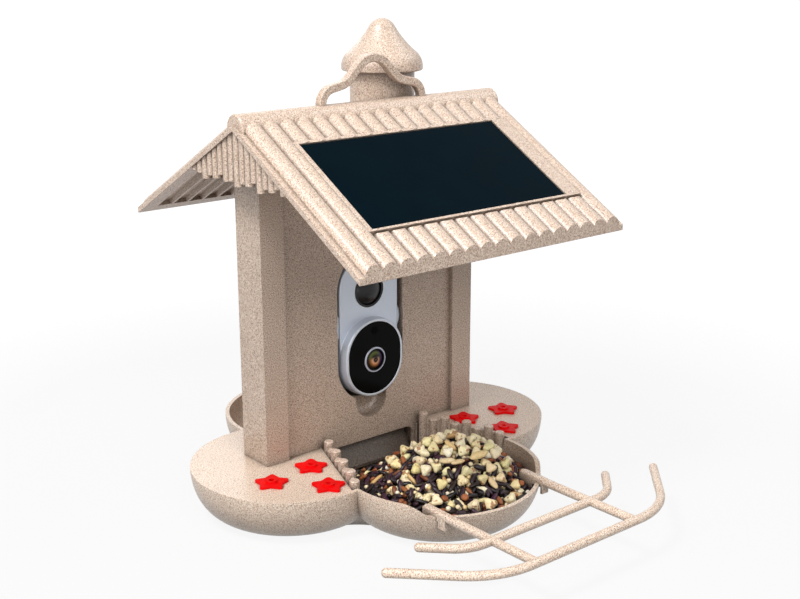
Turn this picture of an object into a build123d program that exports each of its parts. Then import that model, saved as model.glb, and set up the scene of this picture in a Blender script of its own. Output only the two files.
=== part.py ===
from build123d import *
import math
import os

# Driving dimensions, in millimetres unless a name says otherwise.
# The frame stands on the ground: Z = 0 is the tray's flat foot, the ridge runs along X over
# Y = 0, and the front of the house, with the camera, looks along -Y.

# Tray of four round lobes: a wing on each side, a seed bowl in front and one behind
lobe_radius = 60.5
wing_offset = 63.5
bowl_offset = 62.0
tray_height = 28.5
tray_draw_in = 20.0
tray_wall = 2.6
tray_floor = 2.6
web_reach = 105.7
web_height = 13.0
partition_wall = 2.4
rim_dip = 5.6
dip_half_width = 41.5
dip_ease = 10.5

# Deck that closes the wings and carries the house
deck_thickness = 2.4
throat_half_width = 34.3
throat_leg = 2.0
house_back = 60.0

# Seed fences: rows of round-topped posts along the deck's two front edges
post_radius = 3.0
post_count = 8
post_height = 6.6
post_step = 2.9
post_depth = 19.0
post_edge = 0.5
fence_web = 2.0
fence_start = (36.6, 0.4)
fence_end = (58.8, -57.6)

# Nectar flowers
flower_radius = 11.2
flower_waist_share = 0.6
flower_thickness = 1.5
flower_ring_radius = 3.6
flower_ring_height = 0.9
flower_hole_radius = 1.5
flower_stem_radius = 3.0
flower_stem_length = 11.0
flower_gap = 0.15
flower_near = (61.4, -16.9)
flower_far = (92.2, -21.1)
flower_front = (69.5, -45.3)

# House
house_half_width = 81.0
column_width = 16.0
column_depth = 25.0
wall_recess = 3.0
house_wall = 2.4
hopper_half_width = 52.0
hopper_flange = 7.0
roof_gap = 0.3
boss_radius = 4.0
slot_top = 3.0
slot_corner_radius = 6.0
slot_sill = 8.0
part_gap = 0.2

# Seed chute inside the hopper
chute_plate = 2.0
chute_ridge_y = 31.0
chute_ridge_z = 50.0

# Camera
camera_half_width = 22.8
camera_head_z = 80.0
camera_top_z = 124.0
camera_head_straight = 5.6
camera_head_taper = 0.8
camera_head_height = 5.6
camera_back_y = 24.0
camera_recess = 1.3
camera_wall = 1.8
camera_edge_round = 1.2
window_margin = 1.55
window_thickness = 1.2
window_sink = 0.3
lens_z = 78.7
lens_ring_radius = 8.1
lens_ring_wall = 1.5
lens_ring_proud = 0.6
lens_bulge = 1.6
barrel_length = 9.0
sensor_z = 97.6
sensor_radius = 2.4
sensor_proud = 0.25
pir_z = 122.3
pir_radius = 11.0
pir_ring_wall = 1.4
pir_ring_proud = 0.2
pir_bulge = 3.0
pir_can_radius = 4.6
pir_can_height = 4.2
board_thickness = 1.6
board_y = 12.2
board_half_width = 17.2
battery_half_width = 16.6
battery_height = 45.0
battery_thickness = 5.8
grip_radius = 12.2
grip_bulge = 2.8
grip_depth = 14.0
grip_round = 1.1
grip_z = 101.7
button_radius = 3.2
button_travel = 0.8
button_gap = 0.3
port_flap = (11.0, 5.0)
camera_screw_head = 1.9
camera_screw_radius = 0.8
camera_screw_length = 7.0
camera_boss_radius = 2.3
camera_seat_gap = 0.3
pocket_gap = 2.7
grip_gap = 0.4
tub_wall = 1.6
scoop_half_width = 11.9
scoop_bottom_z = 39.8
scoop_depth = 7.0
scoop_round = 4.5

# Roof
roof_side_overhang = 16.0
roof_half_depth = 112.0
roof_pitch_deg = 29.5
roof_apex_z = 229.6
slab_thickness = 4.35
flange_width = 3.5
flange_thickness = 3.0
rib_count = 17
rib_height = 3.7
rib_nose = 4.0
rib_start = 1.5
back_groove_depth = 2.6
back_groove_land = 1.6
back_groove_margin = 9.0
roll_radius = 8.2
roll_setback = 1.7
roll_rise = 9.3
panel_start = 26.4
panel_eave_margin = 29.8
panel_level = 7.7
panel_thickness = 2.8
panel_recess = 0.5
panel_gap = 0.25
plateau_lap = 3.0
plateau_side_band = 3.2
plateau_top_band = 2.6
plateau_bottom_band = 1.8
tab_width = 6.0
tab_depth = 6.5
tab_drop = 13.0
junction_half_width = 30.0
junction_length = 34.0
junction_height = 7.0
junction_wall = 1.6

# Gable fringes: half-round rods that hang in steps
rod_count = 17
rod_pitch = 5.57
rod_radius = 2.75
fringe_setback = 3.7
fringe_plate = 1.8
fringe_bottom = 28.6
fringe_step = 3.0
fringe_drop_shares = (
    0.2, -0.7, 0.1, -0.2, 0.8, -0.8, 0.1, -0.1, 0.7, -0.1, 0.2, -0.8, 0.1, -0.2, 0.7, -0.2, -0.5
)

# Hanging loop on the ridge
loop_half_span = 37.1
loop_rise = 24.5
loop_corner_rise = 7.3
loop_valley_x = 19.5
loop_valley_rise = 10.8
loop_crown_x = 5.9
loop_strap = 4.8
loop_depth = 5.0
loop_foot_sink = 3.0
loop_corner_radius = 9.0
loop_bend_radius = 14.0
loop_edge = 0.5

# Chimney
chimney_x = 29.8
chimney_y = 27.7
pipe_radius = 20.0
pipe_wall = 2.0
pipe_stand = 24.9
cap_overlap = 2.1
cap_radius = 25.1
cap_height = 31.0
cap_skirt = 2.2
cap_shoulder_radius = 11.4
cap_dome_radius = 9.0
cap_waist_radius = 60.0
cap_wall = 1.8
cap_collar_depth = 9.0
cap_collar_gap = 0.4

# Perch of round bars
bar_radius = 2.55
arm_x = 38.0
arm_start_y = 94.0
arm_start_z = 23.4
inner_bar_y = 147.8
outer_bar_y = 180.8
perch_rise = 1.2
inner_bend_x = 53.6
inner_bend_radius = 25.0
inner_tip = (72.5, 128.5)
outer_bend_x = 62.6
outer_bend_radius = 50.0
outer_tip = (103.2, 139.3)
clip_depth = 4.0
clip_gap = 0.3
clip_lip = 1.6

# Screws
screw_head_radius = 2.7
screw_head_height = 1.8
screw_radius = 1.2
screw_length = 8.0

# One overrun serves every cut
over = 1.0

# Places worked out from the sizes
pitch = math.radians(roof_pitch_deg)
deck_top = tray_height
deck_bottom = tray_height - deck_thickness
eave_z = roof_apex_z - roof_half_depth * math.tan(pitch)
slope_length = roof_half_depth / math.cos(pitch)
roof_half_length = house_half_width + roof_side_overhang
ribs_half_length = roof_half_length - flange_width
rib_pitch = 2 * ribs_half_length / rib_count
rib_radius = ((rib_pitch / 2) ** 2 + rib_height ** 2) / (2 * rib_height)
plateau_left = ribs_half_length - 2 * rib_pitch + plateau_lap
plateau_right = ribs_half_length - rib_pitch
panel_half_width = plateau_left - plateau_side_band
panel_end = slope_length - panel_eave_margin
fringe_plane = roof_half_length - fringe_setback
pipe_top_z = roof_apex_z + pipe_stand
cap_bottom_z = pipe_top_z - cap_overlap
column_inner = house_half_width - column_width
wall_back = wall_recess + house_wall
fence_foot_x = throat_half_width + throat_leg
lobe_gap = math.hypot(wing_offset, bowl_offset)
crease_reach = math.sqrt(lobe_radius ** 2 - (lobe_gap / 2) ** 2)
crease_x = wing_offset / 2 + crease_reach * bowl_offset / lobe_gap
crease_y = bowl_offset / 2 + crease_reach * wing_offset / lobe_gap
fence_length = math.dist(fence_start, fence_end)
fence_ux = (fence_end[0] - fence_start[0]) / fence_length
fence_uy = (fence_end[1] - fence_start[1]) / fence_length


def block(x0, x1, y0, y1, z0, z1):
    """A box between two corners."""
    size = (x1 - x0, y1 - y0, z1 - z0)
    centre = ((x0 + x1) / 2, (y0 + y1) / 2, (z0 + z1) / 2)
    return Pos(*centre) * Box(*size)


def rod_y(x, z, radius, y0, y1):
    """A cylinder along Y."""
    length = y1 - y0
    return Pos(x, (y0 + y1) / 2, z) * Rot(90, 0, 0) * Cylinder(radius, length)


def rod_z(x, y, radius, z0, z1):
    """A cylinder along Z."""
    return Pos(x, y, (z0 + z1) / 2) * Cylinder(radius, z1 - z0)


def along_y(sketch, y0, y1):
    """Extrudes an outline drawn as X and Z between two Y places."""
    plane = Plane(origin=(0, y0, 0), x_dir=(1, 0, 0), z_dir=(0, -1, 0))
    return extrude(plane * sketch, amount=y0 - y1)


def along_x(sketch, x0, x1):
    """Extrudes an outline drawn as Y and Z between two X places."""
    plane = Plane(origin=(x0, 0, 0), x_dir=(0, 1, 0), z_dir=(1, 0, 0))
    return extrude(plane * sketch, amount=x1 - x0)


def polygon(*points):
    """A filled outline of straight sides through the points, in order."""
    return make_face(Polyline(*points, close=True))


# Tray
def lobe(radius, foot, top):
    """One round lobe whose wall draws in on an elliptical curve towards its floor."""
    wall = EllipticalCenterArc(
        (radius - tray_draw_in, top), tray_draw_in, top - foot, start_angle=-90, arc_size=90
    )
    outline = wall + Polyline((radius, top), (0, top), (0, foot), (radius - tray_draw_in, foot))
    return revolve(Plane.XZ * make_face(outline), Axis.Z)


def lobe_centres():
    return ((wing_offset, 0), (-wing_offset, 0), (0, -bowl_offset), (0, bowl_offset))


def lobe_radius_at(z, foot):
    """Radius at a height of a lobe whose curve starts at its foot."""
    share = (tray_height - z) / (tray_height - foot)
    return lobe_radius - tray_draw_in * (1 - math.sqrt(1 - share ** 2))


def corner_web(side_x, side_y):
    """Concave fillet that joins two lobes near the ground."""
    axis_x = web_reach * bowl_offset / lobe_gap
    axis_y = web_reach * wing_offset / lobe_gap
    reach = math.hypot(axis_x - wing_offset, axis_y)
    crease = lobe_gap / 2 + math.sqrt(lobe_radius_at(web_height, 0) ** 2 - (lobe_gap / 2) ** 2)
    low = reach - lobe_radius + tray_draw_in
    high = web_reach - crease
    points = ((0, 0), (wing_offset, 0), (axis_x, axis_y), (0, bowl_offset))
    web = extrude(polygon(*[(side_x * x, side_y * y) for x, y in points]), amount=web_height)
    cutter = Pos(side_x * axis_x, side_y * axis_y, web_height / 2) * Cone(low, high, web_height)
    return web - cutter


def fence_x(y, outward):
    """Where a line beside the fence, shifted outward from the bowl, crosses a given Y."""
    run = (y - fence_start[1] - outward * fence_ux) / fence_uy
    return fence_start[0] - outward * fence_uy + run * fence_ux


def deck_outline():
    wings = Pos(wing_offset, 0) * Circle(lobe_radius) + Pos(-wing_offset, 0) * Circle(lobe_radius)
    middle = polygon(
        (-crease_x, -crease_y),
        (crease_x, -crease_y),
        (crease_x, crease_y),
        (-crease_x, crease_y),
    )
    shift = post_radius + part_gap
    foot = fence_x(wall_recess, shift)
    end = fence_x(-crease_y, shift)
    reach = bowl_offset + lobe_radius + over
    bowl = polygon(
        (-foot, wall_recess),
        (foot, wall_recess),
        (end, -crease_y),
        (end, -reach),
        (-end, -reach),
        (-end, -crease_y),
    )
    rear = Pos(0, house_back + reach / 2) * Rectangle(2 * crease_x, reach)
    return wings + middle - bowl - rear


def partition(start, end):
    """An upright wall in the tray between two points."""
    run = math.dist(start, end)
    angle = math.degrees(math.atan2(end[1] - start[1], end[0] - start[0]))
    middle = ((start[0] + end[0]) / 2, (start[1] + end[1]) / 2)
    foot = tray_floor / 2
    wall = Box(run, partition_wall, deck_bottom - foot)
    return Pos(middle[0], middle[1], (deck_bottom + foot) / 2) * Rot(0, 0, angle) * wall


def rim_dip_cutter():
    """Shallow dip in the front rim, between the two places where the perch arms rest."""
    top = tray_height + over
    low = tray_height - rim_dip
    outer = dip_half_width + dip_ease
    left = Bezier(
        (-outer, tray_height),
        (-outer + dip_ease / 2, tray_height),
        (-dip_half_width - dip_ease / 2, low),
        (-dip_half_width, low),
    )
    right = Bezier(
        (dip_half_width, low),
        (dip_half_width + dip_ease / 2, low),
        (outer - dip_ease / 2, tray_height),
        (outer, tray_height),
    )
    floor = Line((-dip_half_width, low), (dip_half_width, low))
    lid = Polyline((outer, tray_height), (outer, top), (-outer, top), (-outer, tray_height))
    front = bowl_offset + lobe_radius + over
    return along_y(make_face(left + floor + right + lid), -front, -bowl_offset)


def base_tray():
    outer = Part()
    cavity = Part()
    for x, y in lobe_centres():
        outer += Pos(x, y) * lobe(lobe_radius, 0, tray_height)
        cavity += Pos(x, y) * lobe(lobe_radius - tray_wall, tray_floor, tray_height)
    for side_x in (-1, 1):
        for side_y in (-1, 1):
            outer += corner_web(side_x, side_y)
    outer += block(-wing_offset / 2, wing_offset / 2, -bowl_offset / 2, bowl_offset / 2, 0, tray_height)
    cavity += block(
        -fence_foot_x, fence_foot_x, -bowl_offset, house_back + tray_wall, tray_floor, tray_height + over
    )
    tray = outer - cavity
    walls = Part()
    for side in (-1, 1):
        shift = post_radius + part_gap + partition_wall / 2
        foot = (side * fence_x(wall_recess, shift), wall_recess)
        end = (side * fence_x(-crease_y, shift), -crease_y)
        inner = side * (fence_foot_x + part_gap + partition_wall / 2)
        walls += partition(foot, end)
        walls += partition(foot, (inner, wall_recess))
        walls += partition((inner, wall_recess - partition_wall / 2), (inner, house_back))
        walls += partition((inner, house_back - partition_wall / 2), (side * crease_x, house_back))
    walls &= outer
    tray += walls
    tray -= extrude(Pos(0, 0, deck_bottom) * deck_outline(), amount=deck_thickness + over)
    tray -= rim_dip_cutter()
    far = bowl_offset + lobe_radius + over
    half = bar_radius + clip_gap
    for x in (-arm_x, arm_x):
        tray -= block(x - half, x + half, -far, -arm_start_y, clip_seat() - clip_gap, tray_height + over)
    return tray


# Deck, fences and flowers
def flower_places(side):
    return [(side * x, y) for x, y in (flower_near, flower_far, flower_front)]


def deck():
    plate = extrude(Pos(0, 0, deck_bottom) * deck_outline(), amount=deck_thickness)
    back = house_back - house_wall
    hole_front = wall_back + part_gap
    low = deck_bottom - over
    high = deck_top + over
    plate -= block(-fence_foot_x, fence_foot_x, wall_recess - over, hole_front, low, high)
    plate -= block(-throat_half_width, throat_half_width, wall_recess, back, low, high)
    for side in (-1, 1):
        for x, y in flower_places(side):
            plate -= rod_z(x, y, flower_stem_radius + flower_gap, low, high)
        x, y = side * (column_inner + column_width / 2), column_depth / 2
        plate -= rod_z(x, y, screw_radius, low, high)
    return plate


def fence_post(height):
    """Round post with a softened flat top."""
    shape = polygon(
        (0, 0), (post_radius, 0), (post_radius, height - post_edge), (post_radius - post_edge, height), (0, height)
    )
    return revolve(Plane.XZ * shape, Axis.Z)


def fence_point(side, share):
    x = fence_start[0] + share * (fence_end[0] - fence_start[0])
    y = fence_start[1] + share * (fence_end[1] - fence_start[1])
    return side * x, y


def fence_plate(side, low, high):
    """Thin wall that joins the posts."""
    start = fence_point(side, 1 / 2 / post_count)
    end = fence_point(side, 1 - 1 / 2 / post_count)
    angle = math.degrees(math.atan2(end[1] - start[1], end[0] - start[0]))
    place = Pos((start[0] + end[0]) / 2, (start[1] + end[1]) / 2, (low + high) / 2) * Rot(0, 0, angle)
    return place * Box(math.dist(start, end), fence_web, high - low)


def seed_fence(side):
    """Row of tall and short posts on the deck's bowl edge, reaching down into the bowl."""
    low = deck_top - post_depth
    seam = tray_height + part_gap
    short = deck_top + post_height - post_step
    fence = fence_plate(side, seam, short - post_edge)
    skirt = fence_plate(side, low, seam)
    for index in range(post_count):
        x, y = fence_point(side, (index + 1 / 2) / post_count)
        top = short if index % 2 else deck_top + post_height
        fence += Pos(x, y, seam) * fence_post(top - seam)
        skirt += rod_z(x, y, post_radius, low, seam)
    radius = lobe_radius - tray_wall - part_gap
    bowl = Pos(0, -bowl_offset) * lobe(radius, tray_floor, tray_height)
    bowl += rod_z(0, -bowl_offset, radius, tray_height, seam)
    wing = Pos(side * wing_offset, 0) * lobe(radius, tray_floor, tray_height)
    wing += rod_z(side * wing_offset, 0, radius, tray_height, seam)
    return fence + (skirt & bowl) + (skirt & wing)


def flower_port(x, y):
    """Five-petal feeding port with a raised ring, and a stem down into the nectar."""
    points = []
    for index in range(5):
        outer = math.radians(72 * index - 90)
        inner = math.radians(72 * index - 54)
        points.append((flower_radius * math.cos(outer), flower_radius * math.sin(outer)))
        waist = flower_radius * flower_waist_share
        points.append((waist * math.cos(inner), waist * math.sin(inner)))
    petals = extrude(polygon(*points), amount=flower_thickness)
    tips = petals.edges().filter_by(Axis.Z).sort_by(lambda e: e.center().length)[5:]
    petals = fillet(tips, flower_thickness)
    ring_top = flower_thickness + flower_ring_height
    port = petals + rod_z(0, 0, flower_ring_radius, 0, ring_top)
    port += rod_z(0, 0, flower_stem_radius, -flower_stem_length, 0)
    port -= rod_z(0, 0, flower_hole_radius, -flower_stem_length - over, ring_top + over)
    return Pos(x, y, deck_top) * port


# House
def house_outline(inset, back):
    """Plan of the columns and the recessed front wall, or of the room inside them."""
    w = house_half_width - inset
    c = column_inner + inset
    f = inset
    r = wall_recess + inset
    return polygon((-w, f), (-c, f), (-c, r), (c, r), (c, f), (w, f), (w, back), (-w, back))


def under_roof(y_low, y_high, gap):
    """Everything below the roof's two flat undersides, less a gap."""
    drop = gap / math.cos(pitch)
    reach = house_half_width + roof_half_length

    def height(y):
        return roof_apex_z - drop - abs(y) * math.tan(pitch)

    outline = [(y_low, 0), (y_low, height(y_low))]
    if y_low < 0 < y_high:
        outline.append((0, height(0)))
    outline += [(y_high, height(y_high)), (y_high, 0)]
    return along_x(polygon(*outline), -reach, reach)


def upright_slot(radius, low, high):
    """Outline with straight sides and round ends between two centres on the middle line."""
    middle = Pos(0, (low + high) / 2) * Rectangle(2 * radius, high - low)
    return Pos(0, low) * Circle(radius) + Pos(0, high) * Circle(radius) + middle


def camera_outline(grow):
    """Body of the camera seen from the front."""
    return upright_slot(camera_half_width + grow, camera_head_z - camera_head_straight / 2, camera_top_z)


def grip_outline(grow):
    """Round bulges on both sides of the camera, where fingers hold it."""
    x = camera_half_width + grip_bulge - grip_radius
    disc = Circle(grip_radius + grow)
    return Pos(-x, grip_z) * disc + Pos(x, grip_z) * disc


def pocket_outline(grow):
    """Opening for the camera and its grips."""
    return camera_outline(pocket_gap + grow) + grip_outline(grip_gap + grow)


def scoop_outline(grow):
    """Finger scoop below the pocket."""
    radius = scoop_half_width + grow
    centre_z = scoop_bottom_z + scoop_half_width
    height = camera_head_z - centre_z
    upper = Pos(0, centre_z + height / 2) * Rectangle(2 * radius, height)
    return Pos(0, centre_z) * Circle(radius) + upper


def slot_outline():
    width = 2 * throat_half_width
    low = slot_sill - over
    high = deck_top - slot_top
    face = Pos(0, (low + high) / 2) * Rectangle(width, high - low)
    top_corners = face.vertices().group_by(Axis.Y)[-1]
    return fillet(top_corners, slot_corner_radius)


def house_shell():
    top = roof_apex_z
    shell = extrude(Pos(0, 0, deck_top) * house_outline(0, column_depth), amount=top - deck_top)
    room = Pos(0, 0, deck_top - over) * house_outline(house_wall, column_depth - house_wall)
    shell -= extrude(room, amount=top)
    opening = hopper_half_width - house_wall
    shell -= block(-opening, opening, column_depth / 2, column_depth + over, deck_top - over, top + over)
    leg = fence_foot_x
    shell += block(-leg, leg, wall_recess, wall_back, slot_sill, deck_top + over)
    for side in (-1, 1):
        x, y = side * (column_inner + column_width / 2), column_depth / 2
        shell += rod_z(x, y, boss_radius, deck_top, deck_top + screw_length + over)
        shell -= rod_z(x, y, screw_radius, deck_top - over, deck_top + screw_length)
        web_low, web_high = sorted((x, side * (house_half_width - house_wall / 2)))
        rib = block(
            web_low, web_high, y - house_wall / 2, y + house_wall / 2, deck_top, deck_top + screw_length
        )
        shell += rib - rod_z(x, y, boss_radius - house_wall / 2, deck_top - over, deck_top + screw_length + over)
    shell -= along_y(slot_outline(), wall_recess - over, wall_back + over)
    shell -= along_y(pocket_outline(0) + scoop_outline(0), wall_recess - over, wall_back + over)
    for x, z in hopper_screw_places():
        shell -= rod_y(x, z, screw_radius, column_depth - house_wall - over, column_depth + over)
    return shell & under_roof(-over, column_depth + over, roof_gap)


def hopper_screw_places():
    x = hopper_half_width + hopper_flange / 2
    low = deck_top + 2 * hopper_flange
    high = roof_apex_z - column_depth * math.tan(pitch) - 2 * hopper_flange
    return [(-x, low), (x, low), (-x, high), (x, high)]


def hopper_back():
    """Rear half of the seed hopper, a three-sided shell with a flange on each side."""
    w = hopper_half_width
    t = house_wall
    y0 = column_depth
    outer = block(-w, w, y0, house_back, deck_top, roof_apex_z)
    room = block(-w + t, w - t, y0 - over, house_back - t, deck_top - over, roof_apex_z + over)
    shell = outer - room
    for side in (-1, 1):
        low, high = sorted((side * (w - t), side * (w + hopper_flange)))
        shell += block(low, high, y0, y0 + t, deck_top, roof_apex_z)
    upright = shell.edges().filter_by(Axis.Z).group_by(Axis.Y)[-1]
    shell = fillet(upright, house_wall)
    for x, z in hopper_screw_places():
        shell -= rod_y(x, z, screw_radius, y0 - over, y0 + t + over)
    return shell & under_roof(y0 - over, house_back + over, roof_gap)


def seed_chute():
    """Tent-shaped floor that sends the seed to the front and the rear slot."""
    front = wall_back + part_gap
    back = house_back - part_gap
    low = slot_sill
    t = chute_plate / math.cos(math.atan2(chute_ridge_z - low, chute_ridge_y - front))
    tent = polygon(
        (front, low),
        (chute_ridge_y, chute_ridge_z),
        (back, low),
        (back, low - chute_plate),
        (back - chute_plate, low - chute_plate),
        (chute_ridge_y, chute_ridge_z - t),
        (front + chute_plate, low - chute_plate),
        (front, low - chute_plate),
    )
    w = throat_half_width - part_gap
    chute = along_x(tent, -w, w)
    for x in (-w + chute_plate / 2, 0, w - chute_plate / 2):
        foot = block(x - chute_plate / 2, x + chute_plate / 2, front + chute_plate, back - chute_plate, tray_floor + part_gap, low)
        chute += foot
    return chute


def camera_tub():
    """Pocket behind the front wall that holds the camera, with the finger scoop below it."""
    front = wall_back
    back = camera_back_y + camera_seat_gap + tub_wall
    tub = along_y(pocket_outline(tub_wall), front, back)
    scoop_back = front + scoop_depth
    tub += along_y(scoop_outline(tub_wall), front, scoop_back + tub_wall)
    tub -= along_y(pocket_outline(0), front - over, back - tub_wall)
    scoop = along_y(scoop_outline(0), front - over, scoop_back)
    rim = scoop.edges().group_by(Axis.Y)[-1]
    tub -= fillet(rim, scoop_round)
    return tub


# Camera
face_y = wall_recess + camera_recess
head_y = face_y - camera_head_height
cover_y = camera_back_y - camera_wall


def head_outline(grow):
    radius = camera_half_width - camera_head_taper + grow
    half = camera_head_straight / 2
    return upright_slot(radius, camera_head_z - half, camera_head_z + half)


def camera_housing():
    body = along_y(camera_outline(0), face_y, cover_y)
    front_edges = body.edges().group_by(Axis.Y)[0]
    body = fillet(front_edges, camera_edge_round)
    plane = Plane(origin=(0, face_y + camera_edge_round, 0), x_dir=(1, 0, 0), z_dir=(0, -1, 0))
    depth = camera_head_height + camera_edge_round
    lean = math.degrees(math.atan2(camera_head_taper, depth))
    head = extrude(plane * head_outline(camera_head_taper), amount=depth, taper=lean)
    rim = head.edges().group_by(Axis.Y)[0]
    head = fillet(rim, window_margin / 2)
    housing = body + head
    housing -= along_y(camera_outline(-camera_wall), face_y + camera_wall, camera_back_y + over)
    window_back = head_y + window_sink + window_thickness
    housing -= along_y(head_outline(-window_margin), head_y - over, window_back)
    inner = -window_margin - camera_wall
    housing -= along_y(head_outline(inner), window_back - over, face_y + camera_wall + over)
    housing -= rod_y(0, pir_z, pir_radius, face_y - over, face_y + camera_wall + over)
    rests = board_rests()
    for x, z in camera_screw_places():
        rests += rod_y(x, z, camera_boss_radius, board_y + board_thickness + button_gap, cover_y)
    housing += rests & along_y(camera_outline(-camera_wall / 2), face_y + camera_wall / 2, cover_y)
    for x, z in camera_screw_places():
        housing -= rod_y(x, z, camera_screw_radius, cover_y - camera_screw_length, cover_y + over)
    return housing


def board_rests():
    """Blocks on the housing that carry the main board."""
    half = board_half_width / 3
    low, high = board_span()
    top = block(-half, half, face_y, board_y, pir_z + pir_radius, high + camera_wall)
    return top + block(-half, half, board_y - camera_wall, cover_y - camera_wall, 0, low)


def board_span():
    return camera_head_z - camera_half_width / 2, camera_top_z + camera_half_width / 2


def camera_window():
    back = head_y + window_sink + window_thickness
    glass = along_y(head_outline(-window_margin), head_y + window_sink, back)
    glass -= rod_y(0, lens_z, lens_ring_radius, head_y - over, back + over)
    glass -= rod_y(0, sensor_z, sensor_radius, head_y - over, back + over)
    return glass


def lens_ring():
    front = head_y + window_sink - lens_ring_proud
    back = head_y + window_sink + window_thickness
    ring = rod_y(0, lens_z, lens_ring_radius, front, back)
    rim = ring.edges().group_by(Axis.Y)[0]
    ring = chamfer(rim, lens_ring_proud / 2)
    return ring - rod_y(0, lens_z, lens_ring_radius - lens_ring_wall, front - over, back + over)


def dome_y(z, radius, bulge, seat_y):
    """Convex disc that bulges towards the front from its seat."""
    arc = TangentArc((0, seat_y - bulge), (radius, seat_y), tangent=(1, 0))
    rest = Polyline((radius, seat_y), (0, seat_y), (0, seat_y - bulge))
    axis = Axis((0, 0, z), (0, 1, 0))
    return revolve(Pos(0, 0, z) * make_face(arc + rest), axis)


def camera_lens():
    """Front lens element, seated in its ring."""
    back = head_y + window_sink + window_thickness
    seat = back - window_thickness / 2
    radius = lens_ring_radius - lens_ring_wall
    return dome_y(lens_z, radius, lens_bulge, seat) + rod_y(0, lens_z, radius, seat, back)


def lens_barrel():
    front = head_y + window_sink + window_thickness
    barrel = rod_y(0, lens_z, lens_ring_radius - lens_ring_wall / 2, front, front + barrel_length)
    bore = lens_ring_radius - 2 * lens_ring_wall
    return barrel - rod_y(0, lens_z, bore, front - over, front + barrel_length - lens_ring_wall)


def sensor_board():
    y = head_y + window_sink + window_thickness + barrel_length
    half = lens_ring_radius + lens_ring_wall
    return block(-half, half, y, y + board_thickness, lens_z - half, lens_z + half)


def light_sensor():
    front = head_y + window_sink - sensor_proud
    back = head_y + window_sink + window_thickness
    return rod_y(0, sensor_z, sensor_radius, front, back)


def pir_ring():
    ring = rod_y(0, pir_z, pir_radius, face_y - pir_ring_proud, face_y + camera_wall)
    hole = pir_radius - pir_ring_wall
    return ring - rod_y(0, pir_z, hole, face_y - over, face_y + camera_wall + over)


def pir_dome():
    radius = pir_radius - pir_ring_wall
    seat = face_y + camera_wall / 2
    return dome_y(pir_z, radius, pir_bulge, seat) + rod_y(0, pir_z, radius, seat, face_y + camera_wall)


def pir_can():
    return rod_y(0, pir_z, pir_can_radius, board_y - pir_can_height, board_y)


def main_board():
    low, high = board_span()
    return block(-board_half_width, board_half_width, board_y, board_y + board_thickness, low, high)


def battery_pack():
    middle = (camera_head_z + camera_top_z) / 2
    y = board_y + board_thickness
    low = middle - battery_height / 2
    pack = block(
        -battery_half_width, battery_half_width, y, y + battery_thickness, low, low + battery_height
    )
    return fillet(pack.edges().filter_by(Axis.Z), battery_thickness / 4)


def button_place():
    return 0, camera_top_z + camera_half_width / 2 - 2 * button_radius


def camera_back_cover():
    cover = along_y(camera_outline(0), cover_y, camera_back_y)
    rear = cover.edges().group_by(Axis.Y)[-1]
    cover = chamfer(rear, camera_edge_round / 2)
    x, z = button_place()
    cover -= rod_y(x, z, button_radius + button_gap, cover_y - over, camera_back_y + over)
    width, height = port_flap
    port_z = port_place()
    cover -= Pos(0, camera_back_y, port_z) * Box(width, camera_wall, height)
    seat = camera_back_y - camera_wall / 2
    for x, z in camera_screw_places():
        cover -= rod_y(x, z, camera_screw_head, seat, camera_back_y + over)
        cover -= rod_y(x, z, camera_screw_radius, cover_y - over, camera_back_y)
    return cover


def port_place():
    return camera_head_z - camera_half_width / 2


def camera_port_flap():
    """Rubber flap over the charging socket."""
    width, height = port_flap
    half = camera_wall / 2
    z = port_place()
    return block(-width / 2, width / 2, camera_back_y - half, camera_back_y, z - height / 2, z + height / 2)


def power_button():
    """Push button in the back cover that reaches the switch on the main board."""
    x, z = button_place()
    seat = board_y + board_thickness + button_travel + camera_seat_gap
    stem = rod_y(x, z, button_radius / 2, seat, cover_y)
    head = rod_y(x, z, button_radius, cover_y - button_gap, camera_back_y)
    rim = head.edges().group_by(Axis.Y)[-1]
    return stem + chamfer(rim, button_gap)


def camera_screw_places():
    x = camera_half_width - camera_wall - camera_boss_radius / 2
    return [(-x, camera_head_z), (x, camera_head_z), (-x, camera_top_z), (x, camera_top_z)]


def camera_screws():
    group = []
    seat = camera_back_y - camera_wall / 2
    for x, z in camera_screw_places():
        head = rod_y(x, z, camera_screw_head, seat, camera_back_y)
        group.append(head + rod_y(x, z, camera_screw_radius, cover_y - camera_screw_length, seat))
    return Compound(group)


def camera_side_grip(side):
    """Rounded grip pad on one side of the camera."""
    front = face_y + camera_edge_round
    pad = along_y(grip_outline(0), front, front + grip_depth)
    rim = pad.edges().group_by(Axis.Y)[0]
    pad = fillet(rim, grip_round)
    pad -= along_y(camera_outline(0), face_y - over, camera_back_y + over)
    return pad.solids().sort_by(Axis.X)[0 if side < 0 else -1]


# Roof
def on_slope(side):
    """Frame on one slope: Y down the slope, Z out of it, X along the ridge (reversed in front)."""
    tilt = roof_pitch_deg
    if side < 0:
        return Pos(0, 0, roof_apex_z) * Rot(tilt, 0, 0) * Rot(0, 0, 180)
    return Pos(0, 0, roof_apex_z) * Rot(-tilt, 0, 0)


def roof_slab():
    rise = slab_thickness / math.cos(pitch)
    low = flange_thickness / math.cos(pitch)
    d = roof_half_depth

    def section(thick):
        return polygon(
            (-d, eave_z), (0, roof_apex_z), (d, eave_z), (d, eave_z + thick), (0, roof_apex_z + thick), (-d, eave_z + thick)
        )

    slab = along_x(section(rise), -ribs_half_length, ribs_half_length)
    return slab + along_x(section(low), -roof_half_length, roof_half_length)


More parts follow.
